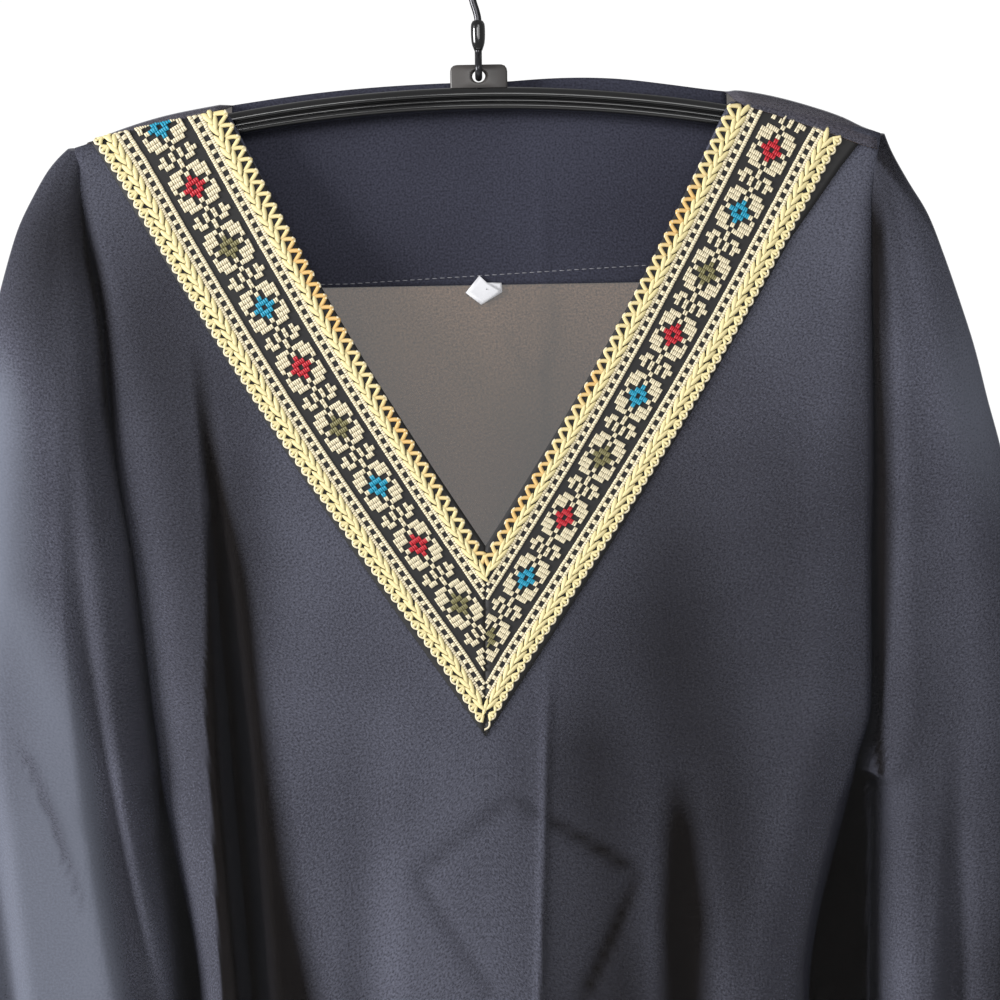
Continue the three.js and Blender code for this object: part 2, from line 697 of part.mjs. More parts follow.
const HOLE_Z = toZ(-TAB_HEIGHT * 0.5);
const STEM = { low: HOLE_Z + 11.5, high: HOLE_Z + 28 };

function hookGeometry() {
  const bend = HOOK_RADIUS + WIRE_RADIUS;
  const points = [
    new THREE.Vector3(0, 5.6, HOLE_Z + 6.6),
    new THREE.Vector3(0, 4.6, HOLE_Z + 1.6),
    new THREE.Vector3(0, 0, HOLE_Z - 0.6),
    new THREE.Vector3(0, -4.6, HOLE_Z + 1.8),
    new THREE.Vector3(0, -3.6, HOLE_Z + 6.5),
    ...[-1, 4, 12, 17].map((above) => new THREE.Vector3(0, 0, STEM.low + above)),
    new THREE.Vector3(-1.7, 0, -51.5),
    new THREE.Vector3(-5, 0, -43),
  ];
  for (let degrees = 222; degrees >= -38; degrees -= 20) {
    const angle = (degrees * Math.PI) / 180;
    points.push(new THREE.Vector3(bend * Math.cos(angle), 0, bend * Math.sin(angle) - HOOK_RADIUS));
  }
  return wire(points, WIRE_RADIUS, 56);
}

function hookSleeveGeometry() {
  const [inner, outer] = [WIRE_RADIUS + 0.35, 3.5];
  const half = (STEM.high - STEM.low) / 2 - 1;
  const profile = [
    [inner, -half],
    [outer - 0.6, -half],
    [outer, -half + 0.6],
    [outer, half - 0.6],
    [outer - 0.6, half],
    [inner, half],
    [inner, -half],
  ];
  const geometry = new THREE.LatheGeometry(profile.map(([r, y]) => new THREE.Vector2(r, y)), 14);
  geometry.rotateX(Math.PI / 2);
  geometry.translate(0, 0, (STEM.low + STEM.high) / 2);
  return geometry;
}

// The label hangs on the facing, folded to a small diamond.
function labelGeometry() {
  const shape = new THREE.Shape();
  const half = LABEL_SIZE / 2;
  shape.moveTo(0, half);
  shape.lineTo(half, half * 0.35);
  shape.lineTo(half * 1.05, -half * 0.25);
  shape.lineTo(half * 0.2, -half);
  shape.lineTo(-half, -half * 0.1);
  const geometry = new THREE.ExtrudeGeometry(shape, { depth: LABEL_THICKNESS, bevelEnabled: false });
  geometry.rotateX(Math.PI / 2);
  const drop = FACING_DROP + 1;
  const y = panelDepth("back", BACK_FOLDS, 0, drop) - WALL * 1.5 - GAP * 2 - 0.5;
  geometry.translate(-1, y, toZ(drop));
  return geometry;
}

// ---------------------------------------------------------------- the object
const group = new THREE.Group();

function place(name, geometry, colour, roughness, metalness = 0) {
  const material = new THREE.MeshStandardMaterial({ color: colour, roughness, metalness });
  const mesh = new THREE.Mesh(bare(geometry), material);
  mesh.name = name;
  group.add(mesh);
}

const front = frontSheet();
const back = backSheet();
place("front_panel", front.sheet.wall(WALL), 0x2b2c34, 0.85);
place("back_panel", back.sheet.wall(WALL), 0x2b2c34, 0.85);
place("sleeve_left", sleeveSheet("left").wall(WALL), 0x2d2e37, 0.85);
place("sleeve_right", sleeveSheet("right").wall(WALL), 0x2d2e37, 0.85);
place("back_neck_facing", facingSheet(back).wall(WALL), 0x23242d, 0.85);
place("trim_left", trimSheet(front, "left").wall(TRIM_WALL), 0xd8c58c, 0.6);
place("trim_right", trimSheet(front, "right").wall(TRIM_WALL), 0xd8c58c, 0.6);
place("neck_label", labelGeometry(), 0xf0eeea, 0.4);
place("hanger", await hangerGeometry(), 0x101012, 0.25);
place("hook", hookGeometry(), 0x2a2a2c, 0.35, 0.8);
place("hook_sleeve", hookSleeveGeometry(), 0x17171a, 0.4);

export default group;
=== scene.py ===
# %% [markdown]
# # An abaya on a hanger
# A pull-over abaya is a long, loose dress that slips over the head. This one is cut from crepe
# georgette, a thin black cloth with a fine pebbled grain, and its V neck is edged with a wide woven
# ribbon. It hangs from a moulded hanger. The frame that is loaded first holds the solid parts, and
# the pieces made here follow nearly the same surfaces, only finer.

import math

import bpy
import numpy as np
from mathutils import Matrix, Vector


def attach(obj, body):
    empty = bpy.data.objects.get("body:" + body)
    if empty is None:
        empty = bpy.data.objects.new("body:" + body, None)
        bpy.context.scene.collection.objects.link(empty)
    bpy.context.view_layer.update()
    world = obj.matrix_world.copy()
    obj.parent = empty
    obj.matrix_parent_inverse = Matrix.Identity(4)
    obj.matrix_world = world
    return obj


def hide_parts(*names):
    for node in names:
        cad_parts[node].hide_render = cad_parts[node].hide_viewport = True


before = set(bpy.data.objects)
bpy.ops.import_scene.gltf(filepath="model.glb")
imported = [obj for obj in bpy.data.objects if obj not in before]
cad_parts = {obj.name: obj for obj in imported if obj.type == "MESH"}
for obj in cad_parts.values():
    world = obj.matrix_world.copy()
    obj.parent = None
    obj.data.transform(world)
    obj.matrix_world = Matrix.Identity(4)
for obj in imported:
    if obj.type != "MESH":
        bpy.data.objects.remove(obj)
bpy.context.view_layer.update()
scene = bpy.context.scene
MM = 0.001
print("frame:", sorted(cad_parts))

# %% [markdown]
# ## Sizes
# The garment is described by a few tables in millimetres. "drop" is the distance below the top of
# the hanger's bar, at its middle. A dressmaker would call the rows levels: shoulder, chest,
# underarm, waist and hem. Between rows the values follow a smooth curve that never overshoots,
# so a straight side stays straight.

# %% Driving sizes
BAR_DROP = 92
BAR_ARC = 700
BAR_HALF = 190
OVER_BAR = 1.5
HEM_DROP = 1400
CUFF_DROP = 590
UNDERARM_DROP = 335
FACING_DROP = 95.6
LAP = 0.15  # half the gap between two sewn pieces
CLOTH_WALL, FACING_WALL, RIBBON_WALL = 0.4, 0.5, 0.6
SIDES = ("left", "right")
SIGN = {"left": -1, "right": 1, "front": -1, "back": 1}  # along x and along y
NECK = {"left": {"inner": -126, "outer": -192}, "right": {"inner": 125, "outer": 185}}
V_POINT = (-0.5, 224)
TRIM_TIP = (-2, 314)
LEG_BOW = 4.5  # each leg of the V bows outwards at its middle
# How far below the ridge each ribbon's upper end lies, at its inner and its outer edge.
RIBBON_LOWER = {"left": (4, 0.2), "right": (5, 13)}
# The front's way over the bar: how far it has fallen from the ridge, and how far out it stands there.
OVER_FALL = np.array([0, 0.35, 2.2, 7])
OVER_OUT = np.array([0.15, 4.2, 6.6, 7.4])

BODY_COLUMNS = ("drop", "left", "right", "front", "back")
BODY = [
    (25, 198, 196, 7.6, 7.6),
    (60, 193, 190, 10, 9),
    (110, 185, 189, 15, 13),
    (175, 180, 189, 21, 18),
    (235, 171, 187, 27, 24),
    (305, 164, 186, 34, 30),
    (335, 161, 178, 37, 33),
    (450, 143, 153, 46, 42),
    (650, 150, 155, 48, 44),
    (900, 172, 176, 54, 50),
    (1150, 196, 199, 60, 56),
    (1400, 220, 223, 66, 62),
]
ARMHOLE_COLUMNS = ("drop", "front", "back")
ARMHOLE = [
    (25, 0.15, 0.15),
    (29, 5, 5),
    (45, 7, 7),
    (110, 8, 8),
    (200, 9, 9),
    (290, 6, 6),
    (335, 0.15, 0.15),
    (1400, 0.15, 0.15),
]
SLEEVE_COLUMNS = ("drop", "inner", "outer", "front", "back")
SLEEVE = {
    "left": [
        (25, 198, 199.5, 3, 3),
        (31, 197, 206, 6, 6),
        (37.5, 196, 211.4, 8.5, 8.5),
        (48.6, 194.5, 218, 11, 10),
        (65, 191.5, 226.2, 14, 12),
        (80, 189.5, 231.2, 16, 14),
        (112, 185, 240, 20, 18),
        (150, 182, 250, 24, 22),
        (235, 171, 262, 31, 28),
        (335, 164, 268, 37, 34),
        (450, 153, 270, 40, 37),
        (590, 160, 266, 40, 37),
    ],
    "right": [
        (25, 196, 197.5, 3, 3),
        (34, 194, 200.8, 6, 6),
        (49, 191, 208.6, 9, 9),
        (66, 189.5, 218.4, 13, 12),
        (86, 189, 225.8, 16, 14),
        (107, 189, 232.6, 19, 17),
        (132, 189, 240, 22, 20),
        (158, 189, 246, 25, 23),
        (180, 189, 251.5, 27, 25),
        (235, 187, 262, 31, 28),
        (335, 186, 268, 37, 34),
        (450, 184, 271, 40, 37),
        (590, 182, 268, 40, 37),
    ],
}

# %% [markdown]
# ## Folds and creases
# Hanging cloth makes long folds that start at a point of tension and widen on their way down.
# The finer creases are what a pressed and packed garment keeps: a centre line, and the diamond left
# by folding it up.

# %% Fold tables
# A fold is a row: its name, the drops where it starts and ends, x at both, its half width and how
# deep it is at its end. A negative depth stands out.
FRONT_FOLDS = [
    ("deep_left", 130, 446, -134, -110, 15, 26),
    ("deep_left_skirt", 446, 1400, -110, -128, 34, 34),
    ("press_line", 285, 900, 28, 14, 12, -2.5),
    ("soft_right", 250, 1400, 92, 104, 34, 32),
    ("soft_left", 250, 1400, -58, -52, 30, 26),
    ("hem_middle", 420, 1400, 20, 26, 34, 30),
    ("hem_right", 520, 1400, 128, 170, 30, 26),
]
BACK_FOLDS = [
    ("back_left", 200, 1400, -104, -150, 34, 30),
    ("back_mid_left", 260, 1400, -40, -58, 32, 28),
    ("back_mid_right", 240, 1400, 44, 40, 34, 32),
    ("back_right", 210, 1400, 112, 140, 32, 28),
]
SLEEVE_FOLDS = {
    ("left", "front"): [
        ("front_outer", 150, 590, -199, -128, 13, 16),
        ("front_edge", 240, 590, -245, -222, 16, 13),
    ],
    ("left", "back"): [
        ("rear_inner", 120, 590, -208, -190, 18, 20),
        ("rear_outer", 200, 590, -240, -236, 14, 14),
    ],
    ("right", "front"): [
        ("front_inner", 300, 590, 222, 214, 14, 14),
        ("front_edge", 320, 590, 248, 246, 12, 9),
    ],
    ("right", "back"): [
        ("rear_inner", 120, 590, 212, 206, 17, 20),
        ("rear_outer", 220, 590, 244, 242, 13, 13),
    ],
}
# carried: the width and depth a fold starts with. fades: deepest halfway. bend: how its line curves.
# steep: the width of its left wall, as a share of its half width.
FOLD_EXTRAS = {
    "deep_left": {"steep": 0.35},
    "deep_left_skirt": {"carried": (15, 26), "steep": 0.35},
    "press_line": {"fades": True},
    "front_outer": {"bend": 1.8},
}
# A crease is a row: its name, its two ends (x, drop), its half width and its depth.
FRONT_CREASES = [
    ("diamond_upper_left", (-36, 378), (10, 343), 4.5, 1.2),
    ("diamond_upper_right", (10, 343), (70, 379), 4.5, 1.2),
    ("diamond_lower_left", (-36, 378), (2, 440), 4.5, 1.1),
    ("diamond_lower_right", (70, 379), (40, 440), 4.5, 1.1),
    ("press_upper", (28, 281), (21, 446), 2.6, -1.4),
    ("press_lower", (21, 446), (16, 1100), 3, -1.2),
]
BACK_CREASES = [
    ("neck_a", (8, 116), (22, 141), 3, 0.8),
    ("neck_b", (35, 96), (34, 128), 3, 0.8),
    ("neck_c", (34, 128), (24, 146), 3, 0.7),
    ("neck_d", (-66, 104), (-58, 136), 4, 0.7),
    ("press", (30, 10), (28, 1100), 3, 0.8),
]
# Where cloth lies in its own shadow, painted on each piece in two ways. A stroke is a band, given by
# rows: drop, left edge, right edge, how soft the left and the right edge are, and how dark it is.
STROKES = {
    "front": [
        [
            (120, -142, -136, 4, 6, 0), (160, -138, -131, 4, 9, 0.4),
            (200, -133, -124, 3, 12, 0.65), (240, -133.5, -117, 3, 16, 0.9),
            (291, -135, -110, 3, 18, 1), (348, -132, -99, 2, 20, 1), (405, -130, -91, 2, 20, 1),
            (443, -128, -84, 2, 20, 1), (700, -126, -88, 10, 30, 0.7),
            (1100, -124, -96, 24, 30, 0.15),
        ],
        [
            (330, 84, 92, 12, 14, 0), (360, 82, 95, 14, 16, 0.6), (400, 80, 99, 14, 18, 0.85),
            (800, 84, 104, 20, 24, 0.5), (1400, 92, 112, 24, 24, 0.2),
        ],
        [
            (285, 28, 60, 2, 30, 0), (320, 27, 62, 1.6, 34, 0.38), (446, 20.5, 78, 1.6, 34, 0.62),
            (900, 17, 70, 3, 40, 0.2), (1400, 17, 70, 6, 40, 0),
        ],
    ],
    "sleeve_left": [
        [
            (110, -206, -184, 8, 4, 0), (150, -204, -181, 8, 4, 0.25),
            (279, -194, -167, 6, 4, 0.32), (356, -183, -157, 4, 4, 0.15),
            (426, -169, -153, 3, 4, 0.1), (590, -150, -140, 3, 4, 0.1),
        ],
        [
            (306, -229, -226, 1.2, 6, 0), (322, -220, -215, 1.2, 8, 0.3),
            (350, -209, -204, 1.2, 8, 0.34), (386, -196, -193, 1.2, 5, 0.25),
            (396, -193, -190, 1.2, 4, 0),
        ],
    ],
    "sleeve_right": [
        [
            (50, 190, 193, 3, 5, 0), (75, 188, 195, 3, 5, 0.5), (108, 186, 196, 2, 6, 0.62),
            (206, 184, 195, 2, 7, 0.62), (262, 184, 192, 2, 5, 0.55), (304, 184, 188.5, 1, 3, 0.8),
            (335, 184, 187, 1, 2, 0.9), (590, 178, 184, 1, 3, 0.9),
        ],
        [
            (20, 187, 260, 1.4, 1, 0.45), (38, 192, 260, 1.4, 1, 0.42),
            (60, 208, 260, 1.6, 1, 0.36), (85, 225, 260, 2, 1, 0.3), (110, 240, 270, 4, 1, 0),
        ],
    ],
    "back": [],
}
# The second way is a soft spot: x and drop of its middle, its half sizes across and down, and how
# much shade it paints. A negative one paints light.
SPOTS = {
    "front": [
        (-164, 110, 34, 80, 0.5), (-142, 250, 22, 160, 0.42), (-118, 300, 14, 170, 0.3),
        (-92, 432, 24, 46, 0.32), (4, 337, 20, 30, 0.2), (-112, 240, 18, 70, 0.3),
        (88, 275, 38, 120, 0.75), (42, 290, 18, 60, 0.25), (16, 360, 10, 120, 0.2),
        (114, 390, 20, 90, 0.4), (148, 296, 26, 120, 0.42), (60, 432, 28, 56, 0.16),
        (150, 190, 36, 50, 0.12),
    ],
    "sleeve_left": [
        (-215, 85, 42, 62, 0.68), (-189, 56, 20, 36, 0.35), (-233, 128, 16, 50, -0.25),
        (-228, 300, 14, 40, 0.2), (-170, 410, 18, 56, -0.25),
    ],
    "sleeve_right": [
        (250, 400, 26, 130, 0.2), (196, 285, 40, 140, 0.42), (194, 60, 12, 50, 0.5),
        (238, 160, 24, 58, -0.42), (232, 432, 26, 36, 0.3),
    ],
    "back": [(34, 165, 30, 70, 0.45), (-60, 180, 24, 70, 0.3)],
}
# Painted shade in the groove beside each armhole: drop, how far it reaches on the body and how dark it is
# painted.
GROOVE_SHADE = {
    "left": [
        (45, 4, 0), (83, 8, 0.9), (157, 8, 1), (218, 4.5, 0.85), (335, 4.5, 0.9), (360, 7, 0.9),
        (440, 9, 0.9), (700, 16, 0.6), (1400, 16, 0.2),
    ],
    "right": [
        (40, 4, 0), (100, 6, 0.6), (180, 7, 0.9), (335, 6, 1), (350, 14, 0.9), (450, 16, 0.9),
        (700, 16, 0.6), (1400, 16, 0.2),
    ],
}


# %% [markdown]
# ## Reading the tables
# Small functions turn the tables into surfaces. read gives a column at any drop, fold_depth adds up
# how far the folds push the cloth in at a point, and gloom and painted say how much shade is painted there.


# %% Surface functions
def smooth(t):
    t = np.clip(t, 0, 1)
    return t * t * (3 - 2 * t)


def mix(a, b, t):
    return a + (b - a) * t


def read(table, columns, name, drop):
    """One column of a section table at a drop, on a smooth curve with no overshoot."""
    rows = np.array(table, float)
    levels, values = rows[:, 0], rows[:, columns.index(name)]
    drop = np.clip(drop, levels[0], levels[-1])
    i = np.clip(np.searchsorted(levels, drop, side="right") - 1, 0, len(levels) - 2)
    secant = np.diff(values) / np.diff(levels)
    before, after = np.r_[secant[0], secant], np.r_[secant, secant[-1]]
    total = before + after
    slope = np.where(before * after > 0, 2 * before * after / np.where(total == 0, 1, total), 0)
    step = levels[i + 1] - levels[i]
    t = (drop - levels[i]) / step
    rise = values[i + 1] - values[i]
    m0, m1 = slope[i] * step, slope[i + 1] * step
    return values[i] + t * m0 + t * t * (3 * rise - 2 * m0 - m1) + t**3 * (m0 + m1 - 2 * rise)


def shoulder_drop(x):
    """The drop of the cloth's ridge over the bar at x."""
    return x * x / (2 * BAR_ARC) - OVER_BAR


STEEP_SHIFT, GENTLE_WALL = 0.35, 1.15  # of a fold with one steep wall
YOUNG_WIDTH, GROWING = 0.55, 1.35  # a fold starts this narrow, and is full before its end


def fold_depth(folds, x, drop):
    """How far the folds push the cloth in at (x, drop)."""
    total = np.zeros(np.broadcast(x, drop).shape)
    for name, start, end, x_start, x_end, width, depth in folds:
        t = (drop - start) / (end - start)
        live = (t > 0) & (t <= 1)
        t = np.clip(t, 0, 1)
        grow = smooth(t * GROWING)
        extras = FOLD_EXTRAS.get(name, {})
        reach, wide = depth * grow, width * mix(YOUNG_WIDTH, 1, grow)
        if "carried" in extras:
            reach, wide = mix(extras["carried"][1], depth, t), mix(extras["carried"][0], width, t)
        if "fades" in extras:
            reach = reach * np.sin(math.pi * t)
        away = (x - mix(x_start, x_end, t ** extras.get("bend", 1))) / wide
        if "steep" in extras:
            away = away + STEEP_SHIFT
            away = np.where(away < 0, away / extras["steep"], away / GENTLE_WALL)
        away = np.abs(away)
        total += np.where(live & (away < 1), reach * np.cos(np.minimum(away, 1) * math.pi / 2) ** 2, 0)
    return total


# painted shade at the bottom of folds: the usual amount, the least fold depth that gets it, and folds with
# another amount
USUAL_GLOOM, LEAST_DEPTH = 0.22, 5
GLOOM = {"deep_left": 0.3, "deep_left_skirt": 0.3, "front_outer": 0.5, "soft_right": 0.3}
CREASE_SHADE = 0.22


def gloom(folds, x, drop):
    """How much painted shade the bottom of each fold gets, 0 to 1, where it lies in its own shadow."""
    total = np.zeros(np.broadcast(x, drop).shape)
    for fold in folds:
        name, full = fold[0], abs(fold[6])
        if full > LEAST_DEPTH:
            depth = fold_depth([fold], x, drop)
            total += GLOOM.get(name, USUAL_GLOOM) * np.clip(depth / full, 0, 1) ** 1.3
    return total


def at_drop(rows, drop):
    """Each column of a table after its first one, at a drop."""
    levels, *columns = np.array(rows, float).T
    return [np.interp(drop, levels, column) for column in columns]


def painted(piece, x, drop):
    """How much shade the strokes, spots and creases of a piece paint at (x, drop); below 0 they paint
    light.
    """
    total = np.zeros(np.broadcast(x, drop).shape)
    for rows in STROKES[piece]:
        left, right, soft_left, soft_right, strength = at_drop(rows, drop)
        total += strength * smooth((x - left) / soft_left + 0.5) * smooth((right - x) / soft_right + 0.5)
    for x0, drop0, across, down, strength in SPOTS[piece]:
        total += strength * np.exp(-(((x - x0) / across) ** 2) - ((drop - drop0) / down) ** 2)
    if piece in PANELS:
        total += CREASE_SHADE * np.maximum(crease_depth(PANELS[piece][1], x, drop), 0)
    return total


def crease_depth(creases, x, drop):
    """How far the creases push the cloth in at (x, drop)."""
    total = np.zeros(np.broadcast(x, drop).shape)
    for _, (x0, d0), (x1, d1), width, depth in creases:
        run, fall = x1 - x0, d1 - d0
        along = np.clip(((x - x0) * run + (drop - d0) * fall) / (run * run + fall * fall), 0, 1)
        away = np.hypot(x - x0 - along * run, drop - d0 - along * fall) / width
        ends = np.minimum(1, 6 * np.minimum(along, 1 - along) + 0.25)
        total += depth * ends * np.exp(-away * away * 2)
    return total


PANELS = {"front": (FRONT_FOLDS, FRONT_CREASES), "back": (BACK_FOLDS, BACK_CREASES)}


def panel_depth(face, x, drop):
    """How far a panel stands off the bar's middle at (x, drop)."""
    folds, creases = PANELS[face]
    fall = drop - shoulder_drop(x)
    over = np.interp(fall, OVER_FALL, OVER_OUT)
    body = read(BODY, BODY_COLUMNS, face, drop) - fold_depth(folds, x, drop)
    blend = smooth((fall - OVER_FALL[-1]) / 40)
    return mix(over, body, blend) - crease_depth(creases, x, drop) * blend


def length_along(points):
    """The length of a line of points, up to each of them."""
    return np.r_[0, np.cumsum(np.linalg.norm(np.diff(points, axis=0), axis=1))]


def at_length(values, along, wanted):
    """Rows of values that are given at lengths along a line, at the wanted lengths."""
    return np.stack([np.interp(wanted, along, column) for column in values.T], axis=1)


def evenly(points, count):
    """Points at equal steps of length along a fine line."""
    along = length_along(points)
    return at_length(points, along, np.linspace(0, along[-1], count + 1))


tip_depth = float(panel_depth("front", *TRIM_TIP))
print("the front stands", round(tip_depth, 1), "mm off the bar's middle at the ribbon's tip")

# %% [markdown]
# ## From rows of points to cloth
# A sheet of cloth is a grid: each row is a line of points around the body, and the rows are
# stacked from shoulder to hem. The mesh keeps a UV map in metres, measured along the cloth, so the
# grain has the same size everywhere. A Solidify modifier then gives it a wall, because a real
# cloth has two faces and an edge.


# %% Sheet maker
def grid_mesh(name, grids, flips, shades=None):
    """One mesh from several grids of points in mm; shades give each point its painted shade, light below 0.
    """
    points, faces, uvs, dark = [], [], [], []
    start = 0
    for number, (grid, flip) in enumerate(zip(grids, flips)):
        dark.append(np.zeros(grid.shape[0] * grid.shape[1]) if shades is None else shades[number].ravel())
        rows, columns = grid.shape[:2]
        flat = grid.reshape(-1, 3)
        across = np.zeros((rows, columns))
        across[:, 1:] = np.cumsum(np.linalg.norm(np.diff(grid, axis=1), axis=2), axis=1)
        down = np.zeros((rows, columns))
        down[1:] = np.cumsum(np.linalg.norm(np.diff(grid, axis=0), axis=2), axis=0)
        uvs.append(np.stack([across, -down], axis=2).reshape(-1, 2))
        index = np.arange(rows * columns).reshape(rows, columns) + start
        quads = [index[:-1, :-1], index[1:, :-1], index[1:, 1:], index[:-1, 1:]]
        quads = np.stack(quads if not flip else quads[::-1], axis=2).reshape(-1, 4)
        points.append(flat)
        faces.append(quads)
        start += rows * columns
    points, faces, uvs = np.concatenate(points), np.concatenate(faces), np.concatenate(uvs)
    mesh = bpy.data.meshes.new(name)
    mesh.from_pydata((points * MM).tolist(), [], faces.tolist())
    layer = mesh.uv_layers.new(name="cloth")
    layer.data.foreach_set("uv", (uvs[faces.ravel()] * MM).ravel())
    shadow = mesh.attributes.new("shadow", "FLOAT", "POINT")
    shadow.data.foreach_set("value", np.clip(np.concatenate(dark), -1, 1))
    mesh.validate()
    mesh.polygons.foreach_set("use_smooth", [True] * len(mesh.polygons))
    return add_object(name, mesh)


def add_object(name, data):
    added = bpy.data.objects.new(name, data)
    scene.collection.objects.link(added)
    return added


def activate(piece):
    bpy.ops.object.select_all(action="DESELECT")
    piece.select_set(True)
    bpy.context.view_layer.objects.active = piece


def edit_all(piece, action, **settings):
    """Runs one edit-mode action on a whole piece."""
    activate(piece)
    bpy.ops.object.mode_set(mode="EDIT")
    bpy.ops.mesh.select_all(action="SELECT")
    action(**settings)
    bpy.ops.object.mode_set(mode="OBJECT")


def weld(piece):
    """Joins the grids of a piece where their points meet."""
    edit_all(piece, bpy.ops.mesh.remove_doubles, threshold=0.02 * MM)


def solidify(piece, thickness, second=0):
    """Gives a sheet its wall, in mm, and applies it; second is the material slot of its far side."""
    activate(piece)
    modifier = piece.modifiers.new("wall", "SOLIDIFY")
    modifier.thickness = thickness * MM
    modifier.offset = 0
    modifier.use_even_offset = False
    modifier.material_offset = second
    bpy.ops.object.modifier_apply(modifier=modifier.name)


def report(piece):
    print(piece.name, len(piece.data.polygons), "faces")


def settle(piece, node):
    """Puts a finished piece in the garment's one body, for a node of the frame."""
    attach(piece, "root")
    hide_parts(node)


# %% [markdown]
# ## The front and the back
# The front is one piece with the V cut out of its top. Rows start at the ribbon's outer edge, or at
# the centre line below its tip, and run out to the armhole or side seam, where the cloth turns
# back. Under the ribbon a second grid runs from neck edge to ribbon edge.


# %% Rows of a half panel
def over_bar(x, lift):
    """Drop of a point that lies lift mm below the ridge, measured along the cloth."""
    turned = np.interp(lift, OVER_LENGTHS, OVER_FALL)
    straight = lift - OVER_LENGTHS[-1] + OVER_FALL[-1]
    return shoulder_drop(x) + np.where(lift < OVER_LENGTHS[-1], turned, straight)


OVER_LENGTHS = np.r_[0, np.cumsum(np.hypot(np.diff(OVER_FALL), np.diff(OVER_OUT)))]
OVER_EXTRA = float(OVER_LENGTHS[-1]) - float(OVER_FALL[-1])


def edge_point(side, face, drop):
    """(x, y) where a panel ends: at the armhole, and below it at the side seam."""
    lap = LAP if drop < UNDERARM_DROP else 0
    x = SIGN[side] * (float(read(BODY, BODY_COLUMNS, side, drop)) - lap)
    return x, SIGN[face] * float(read(ARMHOLE, ARMHOLE_COLUMNS, face, drop))


def drop_between(inner, outer, x, t):
    """The drop of a row's points; near the bar the row is bowed as the bar is."""
    falls = [inner[1] - shoulder_drop(inner[0]), outer[1] - shoulder_drop(outer[0])]
    bow = shoulder_drop(x) - mix(shoulder_drop(inner[0]), shoulder_drop(outer[0]), t)
    near = 1 - smooth((mix(falls[0], falls[1], t) - OVER_FALL[-1]) / 50)
    return mix(inner[1], outer[1], t) + bow * near


FINE_STEPS = 420  # of a row before its points are spaced evenly


def half_row(side, face, inner, edge_drop, count):
    """A row from an inner (x, drop) to the panel's edge; its last part turns back to the edge."""
    edge_x, edge_y = edge_point(side, face, edge_drop)
    reach = abs(edge_x - inner[0])
    corner = min(mix(6, 34, float(smooth((edge_drop - 30) / 200))), reach * 0.9)
    t = np.linspace(0, 1, FINE_STEPS + 1)
    turn = edge_x - SIGN[side] * corner
    angle = np.maximum(0, (t - 0.7) / 0.3) * math.pi / 2
    x = np.where(t < 0.7, mix(inner[0], turn, t / 0.7), turn + SIGN[side] * corner * np.sin(angle))
    drop = drop_between(inner, (edge_x, edge_drop), x, t)
    y = mix(edge_y, SIGN[face] * panel_depth(face, x, drop), np.cos(angle))
    row = evenly(np.stack([x, y, -BAR_DROP - drop], axis=1), count)
    row[-1] = (edge_x, edge_y, -BAR_DROP - edge_drop)
    return row


def leg_bow(t):
    """How far a leg of the V bows outwards, t from the shoulder to the centre."""
    return LEG_BOW * np.sin(math.pi * np.clip((t - 0.05) / 0.95, 0, 1))


def leg_edge(side, edge, t):
    """A point on the ribbon's inner or outer edge, t from the shoulder to the centre, unrolled."""
    start = NECK[side][edge]
    end = V_POINT if edge == "inner" else TRIM_TIP
    top = shoulder_drop(start) - OVER_EXTRA
    across, down = end[0] - start, end[1] - top
    bow = leg_bow(t) / math.hypot(across, down)
    return start + across * t + np.sign(start) * bow * down, top + down * t + bow * abs(across)


def roll(x, unrolled):
    """Turns a drop measured along the cloth into a real drop, over the bar's top."""
    lift = np.maximum(unrolled - shoulder_drop(x) + OVER_EXTRA, 0)
    return over_bar(x, lift)


STRIP_ROWS, STRIP_COLUMNS, SKIRT_ROWS, HALF_COLUMNS = 80, 14, 96, 116
STRIP_CROWD, SKIRT_CROWD, BACK_CROWD, SLEEVE_CROWD = 1.15, 1.8, 1.25, 1.15  # rows crowd to the top
LEG_STEPS = np.linspace(0, 1, STRIP_ROWS + 1) ** STRIP_CROWD
SHOULDER_X = dict(zip(SIDES, BODY[0][1:3]))
SIDE_TOP = {side: shoulder_drop(SHOULDER_X[side]) for side in SIDES}


def leg_top(t):
    """1 at the top of a leg of the V, and 0 from a fifth of its length on."""
    return max(0, 1 - t * 5)


def leg_row(side, t, s):
    """(x, unrolled drop) of a row across a leg of the V; s is 0 at its inner edge, 1 at its outer."""
    (xi, di), (xo, do) = leg_edge(side, "inner", t), leg_edge(side, "outer", t)
    x = mix(xi, xo, s)
    bow = shoulder_drop(x) - mix(shoulder_drop(xi), shoulder_drop(xo), s)
    return x, mix(di, do, s) + bow * leg_top(t)


def front_grids(side):
    strip, rest = [], []
    for t in LEG_STEPS:
        x, unrolled = leg_row(side, t, np.linspace(0, 1, STRIP_COLUMNS + 1))
        drop = roll(x, unrolled)
        strip.append(np.stack([x, -panel_depth("front", x, drop), -BAR_DROP - drop], axis=1))
        lift = mix(0, UNDERARM_DROP - SIDE_TOP[side] + OVER_EXTRA, t)
        edge_drop = float(over_bar(SHOULDER_X[side], lift)) if t < 1 else UNDERARM_DROP
        row = half_row(side, "front", (float(x[-1]), float(drop[-1])), edge_drop, HALF_COLUMNS)
        row[0] = strip[-1][-1]
        rest.append(row)
    for k in range(1, SKIRT_ROWS + 1):
        t = (k / SKIRT_ROWS) ** SKIRT_CROWD
        inner = (TRIM_TIP[0], mix(TRIM_TIP[1], HEM_DROP, t))
        rest.append(half_row(side, "front", inner, mix(UNDERARM_DROP, HEM_DROP, t), HALF_COLUMNS))
    return np.array(strip), np.array(rest)


